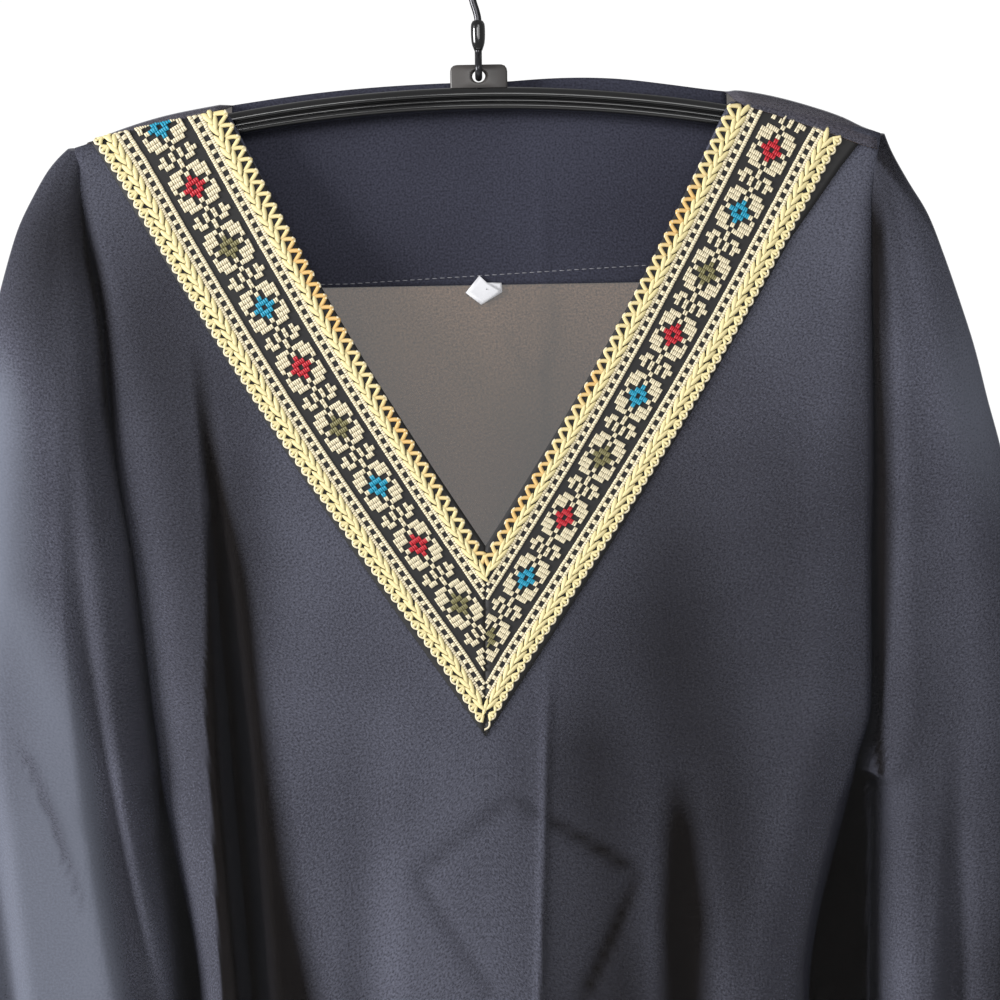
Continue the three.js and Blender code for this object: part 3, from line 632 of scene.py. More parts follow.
# %% Front panel
def panel_shade(grid, face):
    """Painted shade in the folds, creases, strokes and spots and along the armholes of a panel."""
    x, drop = grid[..., 0], -BAR_DROP - grid[..., 2]
    shade = gloom(PANELS[face][0], x, drop) + painted(face, x, drop)
    for side in SIDES:
        reach, strength = at_drop(GROOVE_SHADE[side], drop)
        inside = read(BODY, BODY_COLUMNS, side, drop) - SIGN[side] * x
        shade = shade + strength * np.clip(1 - inside / reach, 0, 1) ** 1.5
    if face == "front":  # painted shade on the cloth that turns over the bar, as it faces up, away from the lights
        shade = shade + 0.35 * (1 - smooth((drop - shoulder_drop(x)) / 10))
    return shade


grids, flips = [], []
for side in SIDES:
    strip, rest = front_grids(side)
    grids += [strip, rest]
    flips += [side == "left", side == "left"]
front = grid_mesh("front_panel_cloth", grids, flips, [panel_shade(grid, "front") for grid in grids])
weld(front)
report(front)

# %% Back panel
BACK_ROWS, BACK_HALF = 150, 66
BEHIND_BAR = 8.6
# How far the cloth stands above the bar: (x, lift). The back comes over the shoulders and is sewn
# to the ribbon's end in front, so it puffs up there too.
BACK_LIFT = [
    (-196, 0.5), (-192, 1.9), (-170, 4.1), (-154, 4.8), (-108, 3.5), (-34, 2.6), (10, 2.4), (34, 4.7),
    (52, 6.0), (71, 6.6), (88, 6.2), (113, 6.0), (134, 7.2), (151, 6.7), (178, 4.2), (190, 1.2), (196, 0.4),
]


def back_top(x):
    """The drop of the back's top edge, and how fully it stands behind the bar, 0 to 1."""
    lifts = np.array(BACK_LIFT)
    reach = smooth((195 - np.abs(x)) / 16)
    soft = sum(np.interp(x + shift, lifts[:, 0], lifts[:, 1]) for shift in (-8, -4, 0, 4, 8)) / 5
    return shoulder_drop(x) - soft * smooth((197 - np.abs(x)) / 8), reach


def behind_bar(x, y, drop):
    """(y, z) of points of the back, once those near its top edge are lifted behind the bar."""
    fall = drop - shoulder_drop(x)
    top, reach = back_top(x)
    near = reach * (1 - smooth((fall - 6) / 30))
    return mix(y, BEHIND_BAR, near), -BAR_DROP - mix(drop, top + np.maximum(fall, 0), near)


def back_row(t):
    """A row of the back; t from the top edge to the hem, measured along the cloth at the side."""
    row = []
    for side in SIDES:
        lift = mix(0, HEM_DROP - SIDE_TOP[side] + OVER_EXTRA, t)
        edge_drop = float(over_bar(SHOULDER_X[side], lift))
        level = float(smooth((edge_drop - SIDE_TOP[side]) / 90))
        inner_drop = mix(float(over_bar(0, lift)), edge_drop, level)
        points = half_row(side, "back", (0, inner_drop), edge_drop, BACK_HALF)
        x, y, z = points.T
        points[:, 1], points[:, 2] = behind_bar(x, y, -BAR_DROP - z)
        row.append(points[::-1] if side == "left" else points[1:])
    return np.concatenate(row)


def ribbon_end(side, x):
    """How far below the ridge a ribbon ends at x."""
    inner, outer = abs(NECK[side]["inner"]), abs(NECK[side]["outer"])
    return mix(*RIBBON_LOWER[side], np.clip((np.abs(x) - inner) / (outer - inner), 0, 1))


CAP_FROM, CAP_TO, CAP_STEPS = 121, 197, 9  # how far out the back comes over the shoulders
CAP_LOWER, CAP_OUT = 1.6, 1.5  # its edge below the ribbon's end, and in front of the cloth


def shoulder_cap(top_row):
    """Rows that bring the back over the shoulders, from the ribbon's end to the back's first row."""
    x, first_y, first_z = top_row.T
    first_drop = -BAR_DROP - first_z
    over = smooth((np.abs(x) - CAP_FROM) / 6) * smooth((CAP_TO - np.abs(x)) / 3)
    end = np.where(x < 0, ribbon_end("left", x), ribbon_end("right", x)) + CAP_LOWER
    start_drop = roll(x, shoulder_drop(x) - OVER_EXTRA + end)
    start_y = -panel_depth("front", x, start_drop) - CAP_OUT * smooth((198 - np.abs(x)) / 8)
    rows = []
    for s in np.linspace(0, 1, CAP_STEPS + 1)[:-1]:
        y = mix(start_y, first_y, (1 - math.cos(math.pi * s)) / 2)
        drop = mix(start_drop, first_drop, math.sin(min(1, s / 0.6) * math.pi / 2))
        z = -BAR_DROP - mix(first_drop, drop, over)
        rows.append(np.stack([x, mix(first_y, y, over), z], axis=1))
    return rows


back_rows = [back_row((k / BACK_ROWS) ** BACK_CROWD) for k in range(BACK_ROWS + 1)]
back_rows = np.array(shoulder_cap(back_rows[0]) + back_rows)
back = grid_mesh("back_panel_cloth", [back_rows], [False], [panel_shade(back_rows, "back")])
weld(back)
report(back)


# %% [markdown]
# ## Sleeves
# Each sleeve is one piece that wraps from the front of the armhole, over the outer fold, to the back
# of the armhole. Below the underarm its two long edges meet in a seam on the inside. It hangs
# straight down, so its upper rows are short and its lower rows go right round.


# %% Sleeve rows
SLEEVE_ROWS, SLEEVE_ACROSS, SLEEVE_STEPS = 130, 120, 400
# Below the underarm the sleeve's seam lies this far back and clear of the body, and it comes there
# over a length. The front half turns in at its edge, a little back, in the first share of its steps.
UNDER_SEAM = {"back": 22, "clear": 1, "over": 32, "edge_back": 4, "lead": 0.14}


def sleeve_half(side, face, edge_drop, outer_drop, inner, tuck, under):
    """Half of a row round the sleeve, from the armhole or the seam to the outer fold."""
    facing = SIGN[face]
    table = SLEEVE[side]
    edge_y = facing * float(read(ARMHOLE, ARMHOLE_COLUMNS, face, edge_drop))
    s = np.linspace(0, 1, SLEEVE_STEPS + 1)
    drop = mix(edge_drop, outer_drop, smooth(s))
    outer = read(table, SLEEVE_COLUMNS, "outer", drop)
    depth = read(table, SLEEVE_COLUMNS, face, drop)
    wide = np.maximum(outer - inner, 1.5)
    start, turn = np.minimum(16, wide * 0.3), np.minimum(36, wide * 0.55)
    seam_y = edge_y + UNDER_SEAM["back"] * under
    lead = UNDER_SEAM["lead"] if face == "front" and tuck > 0 else 0
    turn_y = edge_y + UNDER_SEAM["edge_back"] * under if face == "front" else seam_y
    turn_x = inner if face == "front" else inner - tuck
    rise = np.clip((s - lead) / (0.25 - lead), 0, 1) * math.pi / 2
    fall = np.clip((s - 0.6) / 0.4, 0, 1) * math.pi / 2
    x = mix(turn_x, inner + start, 1 - np.cos(rise))
    if lead:
        x = np.where(s < lead, mix(inner - tuck, inner, s / lead), x)
    x = np.where(s > 0.25, mix(inner + start, outer - turn, np.clip((s - 0.25) / 0.35, 0, 1)), x)
    x = np.where(s > 0.6, outer - turn * (1 - np.sin(fall)), x)
    y = np.where(s < 0.25, mix(turn_y, facing * depth, np.sin(rise)), facing * depth * np.cos(fall))
    if lead:
        y = np.where(s < lead, mix(seam_y, turn_y, s / lead), y)
    shrink = np.minimum(1, np.abs(y) / 30)
    x = SIGN[side] * x
    y = y - facing * fold_depth(SLEEVE_FOLDS[side, face], x, drop) * shrink
    return np.stack([x, y, -BAR_DROP - drop], axis=1)


def sleeve_top(side):
    """The drop where a sleeve's first row starts."""
    return float(shoulder_drop(SLEEVE[side][0][1])) + 0.4


def sleeve_row(side, t):
    """A row round the sleeve, t from its top to the cuff."""
    table = SLEEVE[side]
    top = float(shoulder_drop(table[0][1]))
    edge_drop = mix(sleeve_top(side), CUFF_DROP, t)
    outer_drop = mix(top + 0.5, CUFF_DROP, t)
    inner = float(read(table, SLEEVE_COLUMNS, "inner", edge_drop))
    body = float(read(BODY, BODY_COLUMNS, side, edge_drop))
    if edge_drop < UNDERARM_DROP:
        inner = body + LAP - 3 * (1 - float(smooth((edge_drop - top) / 25)))
    under = float(smooth((edge_drop - UNDERARM_DROP) / UNDER_SEAM["over"]))
    clear = inner - body - UNDER_SEAM["clear"] + 3 * (1 - under)
    tuck = 0 if edge_drop < UNDERARM_DROP else max(0, clear)
    shape = (edge_drop, outer_drop, inner, tuck, under)
    front_half, back_half = (sleeve_half(side, face, *shape) for face in ("front", "back"))
    return evenly(np.concatenate([front_half, back_half[::-1][1:]]), SLEEVE_ACROSS)


def sleeve_shade(side, rows):
    """Painted shade in a sleeve's folds, armhole groove and turned-under part, and painted light on the
    left one.
    """
    x, y, drop = rows[..., 0], rows[..., 1], -BAR_DROP - rows[..., 2]
    front_face = np.where(y < 0, 1, 0)
    front_gloom, back_gloom = (gloom(SLEEVE_FOLDS[side, face], x, drop) for face in ("front", "back"))
    shade = np.where(y < 0, front_gloom, back_gloom)
    shade = shade + painted(f"sleeve_{side}", x, drop) * front_face
    armhole_drop = np.minimum(drop, UNDERARM_DROP)
    sleeve_inner = read(SLEEVE[side], SLEEVE_COLUMNS, "inner", drop)
    inner = np.minimum(sleeve_inner, read(BODY, BODY_COLUMNS, side, armhole_drop))
    reach, strength = at_drop(GROOVE_SHADE[side], armhole_drop)
    shade = shade + strength * np.clip(1 - (np.abs(x) - inner) / (0.6 * reach), 0, 1) ** 1.5
    below = drop > UNDERARM_DROP  # the part that turns in behind the body, painted in full shade
    shade = shade + np.where(below, 1.0, 0) * smooth((sleeve_inner + 1 - np.abs(x)) / 2)
    if side == "left":  # painted light on the outer part of the front, standing in for light that comes through the cloth
        start = np.interp(drop, [240, 330], [206, 166])
        lighter = np.interp(drop, [110, 150, 240, 320], [0, 0.5, 0.7, 0.5])
        shade = shade - lighter * smooth((-x - start) / 28) * front_face
    return shade


sleeves = {}
for side in SIDES:
    shares = [(k / SLEEVE_ROWS) ** SLEEVE_CROWD for k in range(SLEEVE_ROWS + 1)]
    rows = np.array([sleeve_row(side, t) for t in shares])
    sleeves[side] = grid_mesh(f"sleeve_{side}_cloth", [rows], [side == "right"], [sleeve_shade(side, rows)])
    report(sleeves[side])

# %% [markdown]
# ## The crepe's finish
# Georgette is woven from tightly twisted yarn, which gives it a pebbled face and lets light
# through. A plain alpha makes it sheer, a fine noise on the cloth's own UV map makes the grain, and
# a little sheen lifts the edges of folds as the loose fibres do.
# Its colour also takes the painted shade and painted light that are stored on each point.


# %% Cloth materials
def new_material(name, colour, roughness, **sockets):
    material = bpy.data.materials.new(name)
    material.use_nodes = True
    shader = material.node_tree.nodes["Principled BSDF"]
    shader.inputs["Base Color"].default_value = (*colour, 1)
    shader.inputs["Roughness"].default_value = roughness
    for socket, value in sockets.items():
        shader.inputs[socket.replace("_", " ")].default_value = value
    return material


def add_node(material, kind, links=(), **values):
    node = material.node_tree.nodes.new(kind)
    for key, value in values.items():
        if hasattr(node, key) and key not in node.inputs:
            setattr(node, key, value)
        else:
            node.inputs[key.replace("_", " ")].default_value = value
    for socket, source in links:
        material.node_tree.links.new(source, node.inputs[socket])
    return node


def ramp(material, factor, stops):
    node = material.node_tree.nodes.new("ShaderNodeValToRGB")
    elements = node.color_ramp.elements
    for (place, colour), element in zip(stops, elements):
        element.position, element.color = place, (*colour, 1)
    for place, colour in stops[2:]:
        element = elements.new(place)
        element.color = (*colour, 1)
    material.node_tree.links.new(factor, node.inputs["Fac"])
    return node


def number_node(material, operation, source, *values):
    """The result of a sum on a socket's number."""
    node = add_node(material, "ShaderNodeMath", [(0, source)], operation=operation)
    for place, value in enumerate(values):
        node.inputs[place + 1].default_value = value
    return node.outputs[0]


def towards(material, factor, colour, other):
    """A colour that moves towards another one as the factor grows."""
    links = [(0, factor), (6, colour)]
    node = add_node(material, "ShaderNodeMix", links, data_type="RGBA")
    node.inputs[7].default_value = (*other, 1)
    return node.outputs[2]


# the colours that painted shade and painted light move the crepe towards
IN_SHADOW, LIT_THROUGH = (0.003, 0.002, 0.0018), (0.22, 0.24, 0.3)


def crepe(name, dark, light, alpha, grain=0.4, sheen=0.05):
    """Sheer crepe whose colour follows the painted shade and painted light stored on each point."""
    material = new_material(name, dark, 0.85, Alpha=alpha, Sheen_Weight=sheen, Sheen_Roughness=0.5)
    links = material.node_tree.links
    shader = material.node_tree.nodes["Principled BSDF"]
    shader.inputs["Sheen Tint"].default_value = (0.6, 0.64, 0.85, 1)
    shader.inputs["Specular IOR Level"].default_value = 0.05
    place = add_node(material, "ShaderNodeTexCoord")
    fine = add_node(material, "ShaderNodeTexNoise", [("Vector", place.outputs["UV"])], Scale=950, Detail=3)
    wide = add_node(material, "ShaderNodeTexNoise", [("Vector", place.outputs["UV"])], Scale=9, Detail=3)
    calm = number_node(material, "MULTIPLY_ADD", wide.outputs["Fac"], 0.4, 0.3)
    factors = [(0, fine.outputs["Fac"]), (1, calm)]
    blend = add_node(material, "ShaderNodeMath", factors, operation="MULTIPLY")
    colours = ramp(material, blend.outputs[0], [(0.16, dark), (0.35, light)])
    # the stored shadow paints shade towards IN_SHADOW, and below 0 it paints light towards LIT_THROUGH
    fold = add_node(material, "ShaderNodeAttribute", attribute_name="shadow").outputs["Fac"]
    deep = towards(material, fold, colours.outputs["Color"], IN_SHADOW)
    turned = number_node(material, "MULTIPLY", fold, -1)
    pale = towards(material, turned, deep, LIT_THROUGH)
    links.new(pale, shader.inputs["Base Color"])
    grained = [("Height", fine.outputs["Fac"])]
    bump = add_node(material, "ShaderNodeBump", grained, Strength=grain, Distance=0.0004)
    links.new(bump.outputs["Normal"], shader.inputs["Normal"])
    return material


BLACK_CREPE = ((0.04, 0.0405, 0.054), (0.115, 0.119, 0.156))
georgette = crepe("crepe_georgette", *BLACK_CREPE, 0.8)
georgette_sleeve = crepe("crepe_one_layer", *BLACK_CREPE, 0.74)
georgette_back = crepe("crepe_back", *BLACK_CREPE, 0.61)
# painted light: a brown copy of the crepe, coloured as the black cloth looks with light behind it
painted_backlight = crepe("crepe_painted_backlight", (0.034, 0.018, 0.01), (0.19, 0.115, 0.066), 0.7, 0.6)
CLOTH = {
    "front_panel": (front, georgette),
    "back_panel": (back, georgette_back),
    "sleeve_left": (sleeves["left"], georgette_sleeve),
    "sleeve_right": (sleeves["right"], georgette_sleeve),
}
for node, (piece, material) in CLOTH.items():
    if piece is back:  # its inner side is seen through the neck, with the light behind it, which its brown copy paints
        piece.data.materials.append(painted_backlight)
    piece.data.materials.append(material)
    solidify(piece, CLOTH_WALL, second=1 if piece is back else 0)
    settle(piece, node)


# %% [markdown]
# ## Small closed shapes
# Stitches, strands and rods are made of rings of points, joined by quads and closed at both ends.


# %% Meshes of rings
def ring_quads(first, sides, count, step=None):
    """Quads between count + 1 rings; the first ring starts at point first, the next a step on."""
    step = step or sides
    faces = []
    for ring in range(first, first + count * step, step):
        for i in range(sides):
            j = (i + 1) % sides
            faces.append([ring + i, ring + j, ring + step + j, ring + step + i])
    return faces


def caps(ring, sides):
    """Quads that close a ring with an even number of corners."""
    ends = range(sides // 2 - 1)
    return [[ring + i, ring + i + 1, ring + sides - 2 - i, ring + sides - 1 - i] for i in ends]


def rod_faces(sides, rings):
    """Faces of a rod made of rings of points, closed at both ends."""
    last = (rings - 1) * sides
    return np.array(caps(0, sides) + caps(last, sides) + ring_quads(0, sides, rings - 1))


def copies(faces, count, size):
    """The faces of count copies of a shape that has size points."""
    shift = np.arange(count)[:, None, None] * size
    return (faces[None] + shift).reshape(-1, 4)


def mesh_piece(name, points, faces, material):
    mesh = bpy.data.meshes.new(name)
    mesh.from_pydata((points * MM).tolist(), [], faces.tolist())
    piece = add_object(name, mesh)
    edit_all(piece, bpy.ops.mesh.normals_make_consistent, inside=False)
    mesh.polygons.foreach_set("use_smooth", [True] * len(mesh.polygons))
    mesh.materials.append(material)
    return piece


# %% [markdown]
# ## Turned edges
# The hem and the cuffs are turned in twice and stitched. Each is a second layer just inside the
# cloth, with a line of machine stitches along its upper edge.


# %% Hems and cuffs
HEM_TURN, CUFF_TURN = 24, 18
TURNED_IN = 0.9  # the turned layer inside the cloth
STITCH_PITCH, STITCH_LONG, STITCH_THICK = 3.6, 2.6, 0.22


def outward_normals(grid, outward):
    """The normal at each point of a grid, on the side that faces outward."""
    normal = np.cross(np.gradient(grid, axis=1), np.gradient(grid, axis=0))
    normal /= np.linalg.norm(normal, axis=2, keepdims=True)
    return normal * np.sign(np.mean(np.sum(normal * outward, axis=2)))


def running_stitches(line, normal):
    """Machine stitches along a line of points, lying on the cloth: points and faces."""
    along = length_along(line)
    middle = np.arange(STITCH_PITCH, along[-1] - STITCH_PITCH, STITCH_PITCH)
    tangent = at_length(line, along, middle + 0.5) - at_length(line, along, middle - 0.5)
    tangent /= np.linalg.norm(tangent, axis=1, keepdims=True)
    up = at_length(normal, along, middle)
    side = np.cross(tangent, up)
    rings = []
    for shift, lift, size in ((-0.5, 0.1, 0.4), (-0.25, 0.35, 1), (0.25, 0.35, 1), (0.5, 0.1, 0.4)):
        centre = at_length(line, along, middle + shift * STITCH_LONG) + up * lift
        for i in range(4):
            out = up * math.cos(i * math.pi / 2) + side * math.sin(i * math.pi / 2)
            rings.append(centre + out * STITCH_THICK * size)
    points = np.stack(rings, axis=1).reshape(-1, 3)
    faces = np.array([[3, 2, 1, 0], [12, 13, 14, 15]] + ring_quads(0, 4, 3))
    return points, copies(faces, len(middle), 16)


def panel_rows(face, drops):
    """Whole rows of a panel, from its left edge to its right edge."""
    centre, columns = (TRIM_TIP[0], HALF_COLUMNS) if face == "front" else (0, BACK_HALF)
    rows = []
    for drop in drops:
        left, right = (half_row(side, face, (centre, drop), drop, columns) for side in SIDES)
        rows.append(np.concatenate([left[::-1], right[1:]]))
    return np.array(rows)


def cuff_rows(side, drops):
    """Whole rows of a sleeve, near its cuff."""
    top = sleeve_top(side)
    return np.array([sleeve_row(side, (drop - top) / (CUFF_DROP - top)) for drop in drops])


def turned_edge(name, grid, outward, node, material):
    """A second layer inside the last rows of a sheet, and the stitches that hold it."""
    normal = outward_normals(grid, outward)
    fold = grid_mesh(name, [grid - TURNED_IN * normal], [False])
    solidify(fold, CLOTH_WALL)
    fold.data.materials.append(material)
    points, faces = running_stitches(grid[1], normal[1])
    line = mesh_piece(f"{name}_stitches", points, faces, black_thread)
    for piece in (fold, line):
        settle(piece, node)
    report(line)
    return fold


black_thread = new_material("black_thread", (0.02, 0.02, 0.025), 0.6)
HEM_ROWS = HEM_DROP - np.array([HEM_TURN, HEM_TURN - 1.5, 18, 12, 6, 0.5])
CUFF_ROWS = CUFF_DROP - np.array([CUFF_TURN, CUFF_TURN - 1.5, 12, 6, 0.5])
for face in ("front", "back"):
    node = f"{face}_panel"
    grid, outward = panel_rows(face, HEM_ROWS), (0, SIGN[face], 0)
    turned_edge(f"hem_{face}", grid, outward, node, CLOTH[node][1])
for side in SIDES:
    node = f"sleeve_{side}"
    grid = cuff_rows(side, CUFF_ROWS)
    outward = (grid - grid.mean(axis=1, keepdims=True)) * (1, 1, 0)
    turned_edge(f"cuff_{side}", grid, outward, node, CLOTH[node][1])

# %% [markdown]
# ## What each piece was cut to
# A dressmaker cuts these shapes flat: width and length in metres, and the area that is left once
# the neck, the armholes and the sloping sides are cut away. The hem and cuff turnings are included.

# %% The cut
CUT = {
    "front_panel": (0.67, 1.43, 0.65),
    "back_panel": (0.63, 1.43, 0.645),
    "sleeve_left": (0.39, 0.60, 0.16),
    "sleeve_right": (0.39, 0.60, 0.16),
}
for node, (width, length, area) in CUT.items():
    print(node, "was cut", width, "x", length, "m, area", area)

# %% [markdown]
# ## The woven ribbon
# The neck is edged with a ribbon about 60 mm wide. Its ground is black; on it stand rows of thread:
# square flowers in the middle, a ladder on each side, then a braid of leaf-shaped stitches, with
# loops along the inner edge and fans along the outer one. Two lengths meet at the V's point in a
# mitre.
#
# Each stitch is made flat, in the ribbon's own directions: u across it, v up from the mitre and h
# away from the cloth. One function then lays any number of them on the hanging cloth.


# %% Laying things on the front
RIBBON_HALF = 30.5  # of the ribbon where it is at its full width
RIBBON_FACE = 1.0  # the ribbon's face above the front's middle


def front_point(x, unrolled):
    """A point of the front's middle surface."""
    drop = roll(x, unrolled)
    return np.stack([x, -panel_depth("front", x, drop), -BAR_DROP - drop], axis=-1)


def on_front(x, unrolled, height):
    """A point that stands height mm off the front."""
    step = 0.2
    ridge = shoulder_drop(x) - OVER_EXTRA
    unrolled = np.maximum(unrolled, ridge + 3 * step)  # so that the steps below stay short of it
    across = front_point(x + step, unrolled) - front_point(x - step, unrolled)
    down = front_point(x, unrolled + step) - front_point(x, unrolled - step)
    normal = np.cross(across, down)
    normal /= np.linalg.norm(normal, axis=-1, keepdims=True)
    facing_out = np.where(normal[..., 2:3] - 4 * normal[..., 1:2] < 0, -1, 1)
    return front_point(x, unrolled) + normal * facing_out * np.expand_dims(height, -1)


def ribbon_place(side, u, v):
    """(x, unrolled drop) of a place on the ribbon."""
    inner0, inner1 = (np.array(leg_edge(side, "inner", t), float) for t in (0, 1))
    outer0, outer1 = (np.array(leg_edge(side, "outer", t), float) for t in (0, 1))
    low, high = (inner1 + outer1) / 2, (inner0 + outer0) / 2
    up = (high - low) / np.linalg.norm(high - low)
    out = np.array([-up[1], up[0]])
    out *= np.sign((outer0 - inner0) @ out)
    spine = low + np.multiply.outer(v, up)
    halves = []
    for start, end in ((inner1, inner0), (outer1, outer0)):
        share = ((spine - start) @ up) / ((end - start) @ up)
        halves.append((start + share[..., None] * (end - start) - spine) @ out)
    across = np.where(u > 0, halves[1], -halves[0]) * u / RIBBON_HALF
    across = across + leg_bow(1 - v / np.linalg.norm(high - low))
    place = spine + across[..., None] * out
    return place[..., 0], place[..., 1]


def mitre_x(unrolled):
    """x of the mitre where the two ribbons meet, at an unrolled drop."""
    share = (unrolled - V_POINT[1]) / (TRIM_TIP[1] - V_POINT[1])
    return mix(V_POINT[0], TRIM_TIP[0], share)


# %% Stitches
random = np.random.default_rng(5)


class Threads:
    """Many small closed shapes gathered in one mesh."""

    def __init__(self):
        self.points, self.faces, self.count = [], [], 0

    def add(self, shape, places):
        """Copies a shape to rows of (u, v, h, turn)."""
        points, faces = shape
        places = np.atleast_2d(places)
        cos, sin = np.cos(places[:, 3])[:, None], np.sin(places[:, 3])[:, None]
        u = points[:, 0] * cos - points[:, 1] * sin + places[:, 0:1]
        v = points[:, 0] * sin + points[:, 1] * cos + places[:, 1:2]
        h = points[:, 2] + places[:, 2:3]
        self.points.append(np.stack([u, v, h], axis=2).reshape(-1, 3))
        self.faces.append(copies(faces, len(places), len(points)) + self.count)
        self.count += len(places) * len(points)

    def arrays(self):
        return np.concatenate(self.points), np.concatenate(self.faces)


def brick(wide, long, high):
    """A short stitch: a block with a narrower top."""
    points = []
    for share, level in ((1, 0), (1, 0.55), (0.62, 1)):
        for su, sv in ((-1, -1), (1, -1), (1, 1), (-1, 1)):
            points.append((su * wide / 2 * share, sv * (long / 2 - (1 - share) * wide / 2), level * high))
    faces = [[3, 2, 1, 0], [8, 9, 10, 11]] + ring_quads(0, 4, 2)
    return np.array(points, float), np.array(faces)


def strand(path, wide, high, sides=6):
    """A flat strand along a path in (u, v, h); wide and high may vary along it."""
    path = np.array(path, float)
    along = np.gradient(path[:, :2], axis=0)
    along /= np.linalg.norm(along, axis=1, keepdims=True)
    beside = np.stack([-along[:, 1], along[:, 0], np.zeros(len(path))], axis=1)
    angle = np.arange(sides) * 2 * math.pi / sides
    wide, high = np.broadcast_to(wide, len(path)), np.broadcast_to(high, len(path))
    rings = path[:, None] + beside[:, None] * (np.cos(angle) * wide[:, None] / 2)[..., None]
    rings[..., 2] += np.sin(angle) * high[:, None] / 2
    return rings.reshape(-1, 3), rod_faces(sides, len(path))


# %% [markdown]
# The flowers are charted like cross-stitch, on a grid of cells that repeats every fourteen cells:
# X is a cream stitch, R one in the star's colour, and a dot is bare ground. Each cell is a pair of
# short parallel stitches.

# %% The chart
CELL_U, CELL_V = 2.28, 2.44
STAR_COLUMN = 4
CHART = [
    ".XXX.XXX...X..",
    "XXX.X.XXX.XXX.",
    "XXX.R.XXX...X.",
    "X..RRR..X.XX..",
    ".XRR.RRX.X..XX",
    "X..RRR..X.XX..",
    "XXX.R.XXX...X.",
    "XXX.X.XXX.XXX.",
    ".XXX.XXX...X..",
]
REPEAT = len(CHART[0]) * CELL_V
LEG = {
    "left": {"first": 21.3, "stars": ["olive", "red", "blue"], "way": -1},
    "right": {"first": 1.2, "stars": ["olive", "blue", "red"], "way": 1},
}
LEG_LENGTH = 345
THREADS = {
    "cream": new_material("cream_thread", (0.72, 0.64, 0.45), 0.5),
    "gold": new_material("gold_thread", (0.72, 0.62, 0.32), 0.42),
    "inner": new_material("inner_gold_thread", (0.72, 0.56, 0.26), 0.42),
    "red": new_material("red_thread", (0.50, 0.012, 0.025), 0.45),
    "blue": new_material("blue_thread", (0.012, 0.30, 0.46), 0.45),
    "olive": new_material("olive_thread", (0.20, 0.18, 0.075), 0.5),
}


def vary(material, first, second):
    """Lets a thread change between two colours from place to place."""
    place = add_node(material, "ShaderNodeTexCoord")
    vector = [("Vector", place.outputs["Object"])]
    patches = add_node(material, "ShaderNodeTexNoise", vector, Scale=20, Detail=1)
    colours = ramp(material, patches.outputs["Fac"], [(0.42, first), (0.6, second)])
    tree = material.node_tree
    tree.links.new(colours.outputs["Color"], tree.nodes["Principled BSDF"].inputs["Base Color"])


vary(THREADS["inner"], (0.72, 0.60, 0.30), (0.68, 0.43, 0.15))
FROM_MITRE, FROM_END = 0.6, 1.2  # a stitch's middle keeps this far from both ends of its leg


def inside_leg(side, places):
    """Keeps the stitches between the shoulder seam and the mitre."""
    x, unrolled = ribbon_place(side, places[:, 0], places[:, 1])
    past = (mitre_x(unrolled) - x) if side == "left" else (x - mitre_x(unrolled))
    below = unrolled - (shoulder_drop(x) - OVER_EXTRA) - ribbon_end(side, x)
    return places[(past > FROM_MITRE) & (below > FROM_END)]


TURN_WOBBLE = 0.03


def jitter(count, size):
    return random.normal(0, size, count)


def rows_of(side, u, first, pitch, h=0, wobble=0.05):
    """Places for a row of stitches along the leg, each a little out of place."""
    v = np.arange(first - 8 * pitch * math.ceil(60 / 8 / pitch), LEG_LENGTH, pitch)
    count = len(v)
    u, v = u + jitter(count, wobble), v + jitter(count, wobble)
    return inside_leg(side, np.stack([u, v, np.full(count, h), jitter(count, TURN_WOBBLE)], axis=1))


stitch = brick(1.06, 2.3, 0.75)
square = brick(1.9, 1.12, 0.7)
post = brick(2.4, 1.0, 0.7)
leaf_line = np.linspace(0, 1, 8)
swell = 0.22 + np.sin(math.pi * leaf_line) ** 0.7
leaves = {}
for way in (-1, 1):
    across = way * 2.7 * (1 - leaf_line) ** 1.2
    path = np.stack([across, 8.4 * (0.5 - leaf_line), 0.25 + 0.75 * leaf_line], axis=1)
    leaves[way] = strand(path, 2.3 * swell, 0.95 * swell)
arch = np.linspace(-1, 1, 15)


def arc(across, long, wide, high):
    """A small arch of thread; across is how far to the side each of its points stands."""
    return strand(np.stack([across, long * arch, np.full(len(arch), 0.45)], axis=1), wide, high)


def picot(way, reach, wide, foot):
    """A pointed loop of thread that stands out from the braid."""
    across = way * (reach * (1 - np.abs(arch) ** 1.5) - 0.5)
    return strand(np.stack([across, foot * arch, 0.3 + 0.35 * (1 - arch**2)], axis=1), wide, 0.85)


FIRST_REPEAT, LAST_REPEAT = -2, 10
LADDER_RAILS, LADDER_RUNG, BRAID, INNER_PITCH, FAN_PITCH = (14.1, 18.7), 16.4, 22.2, 6.35, 5.3


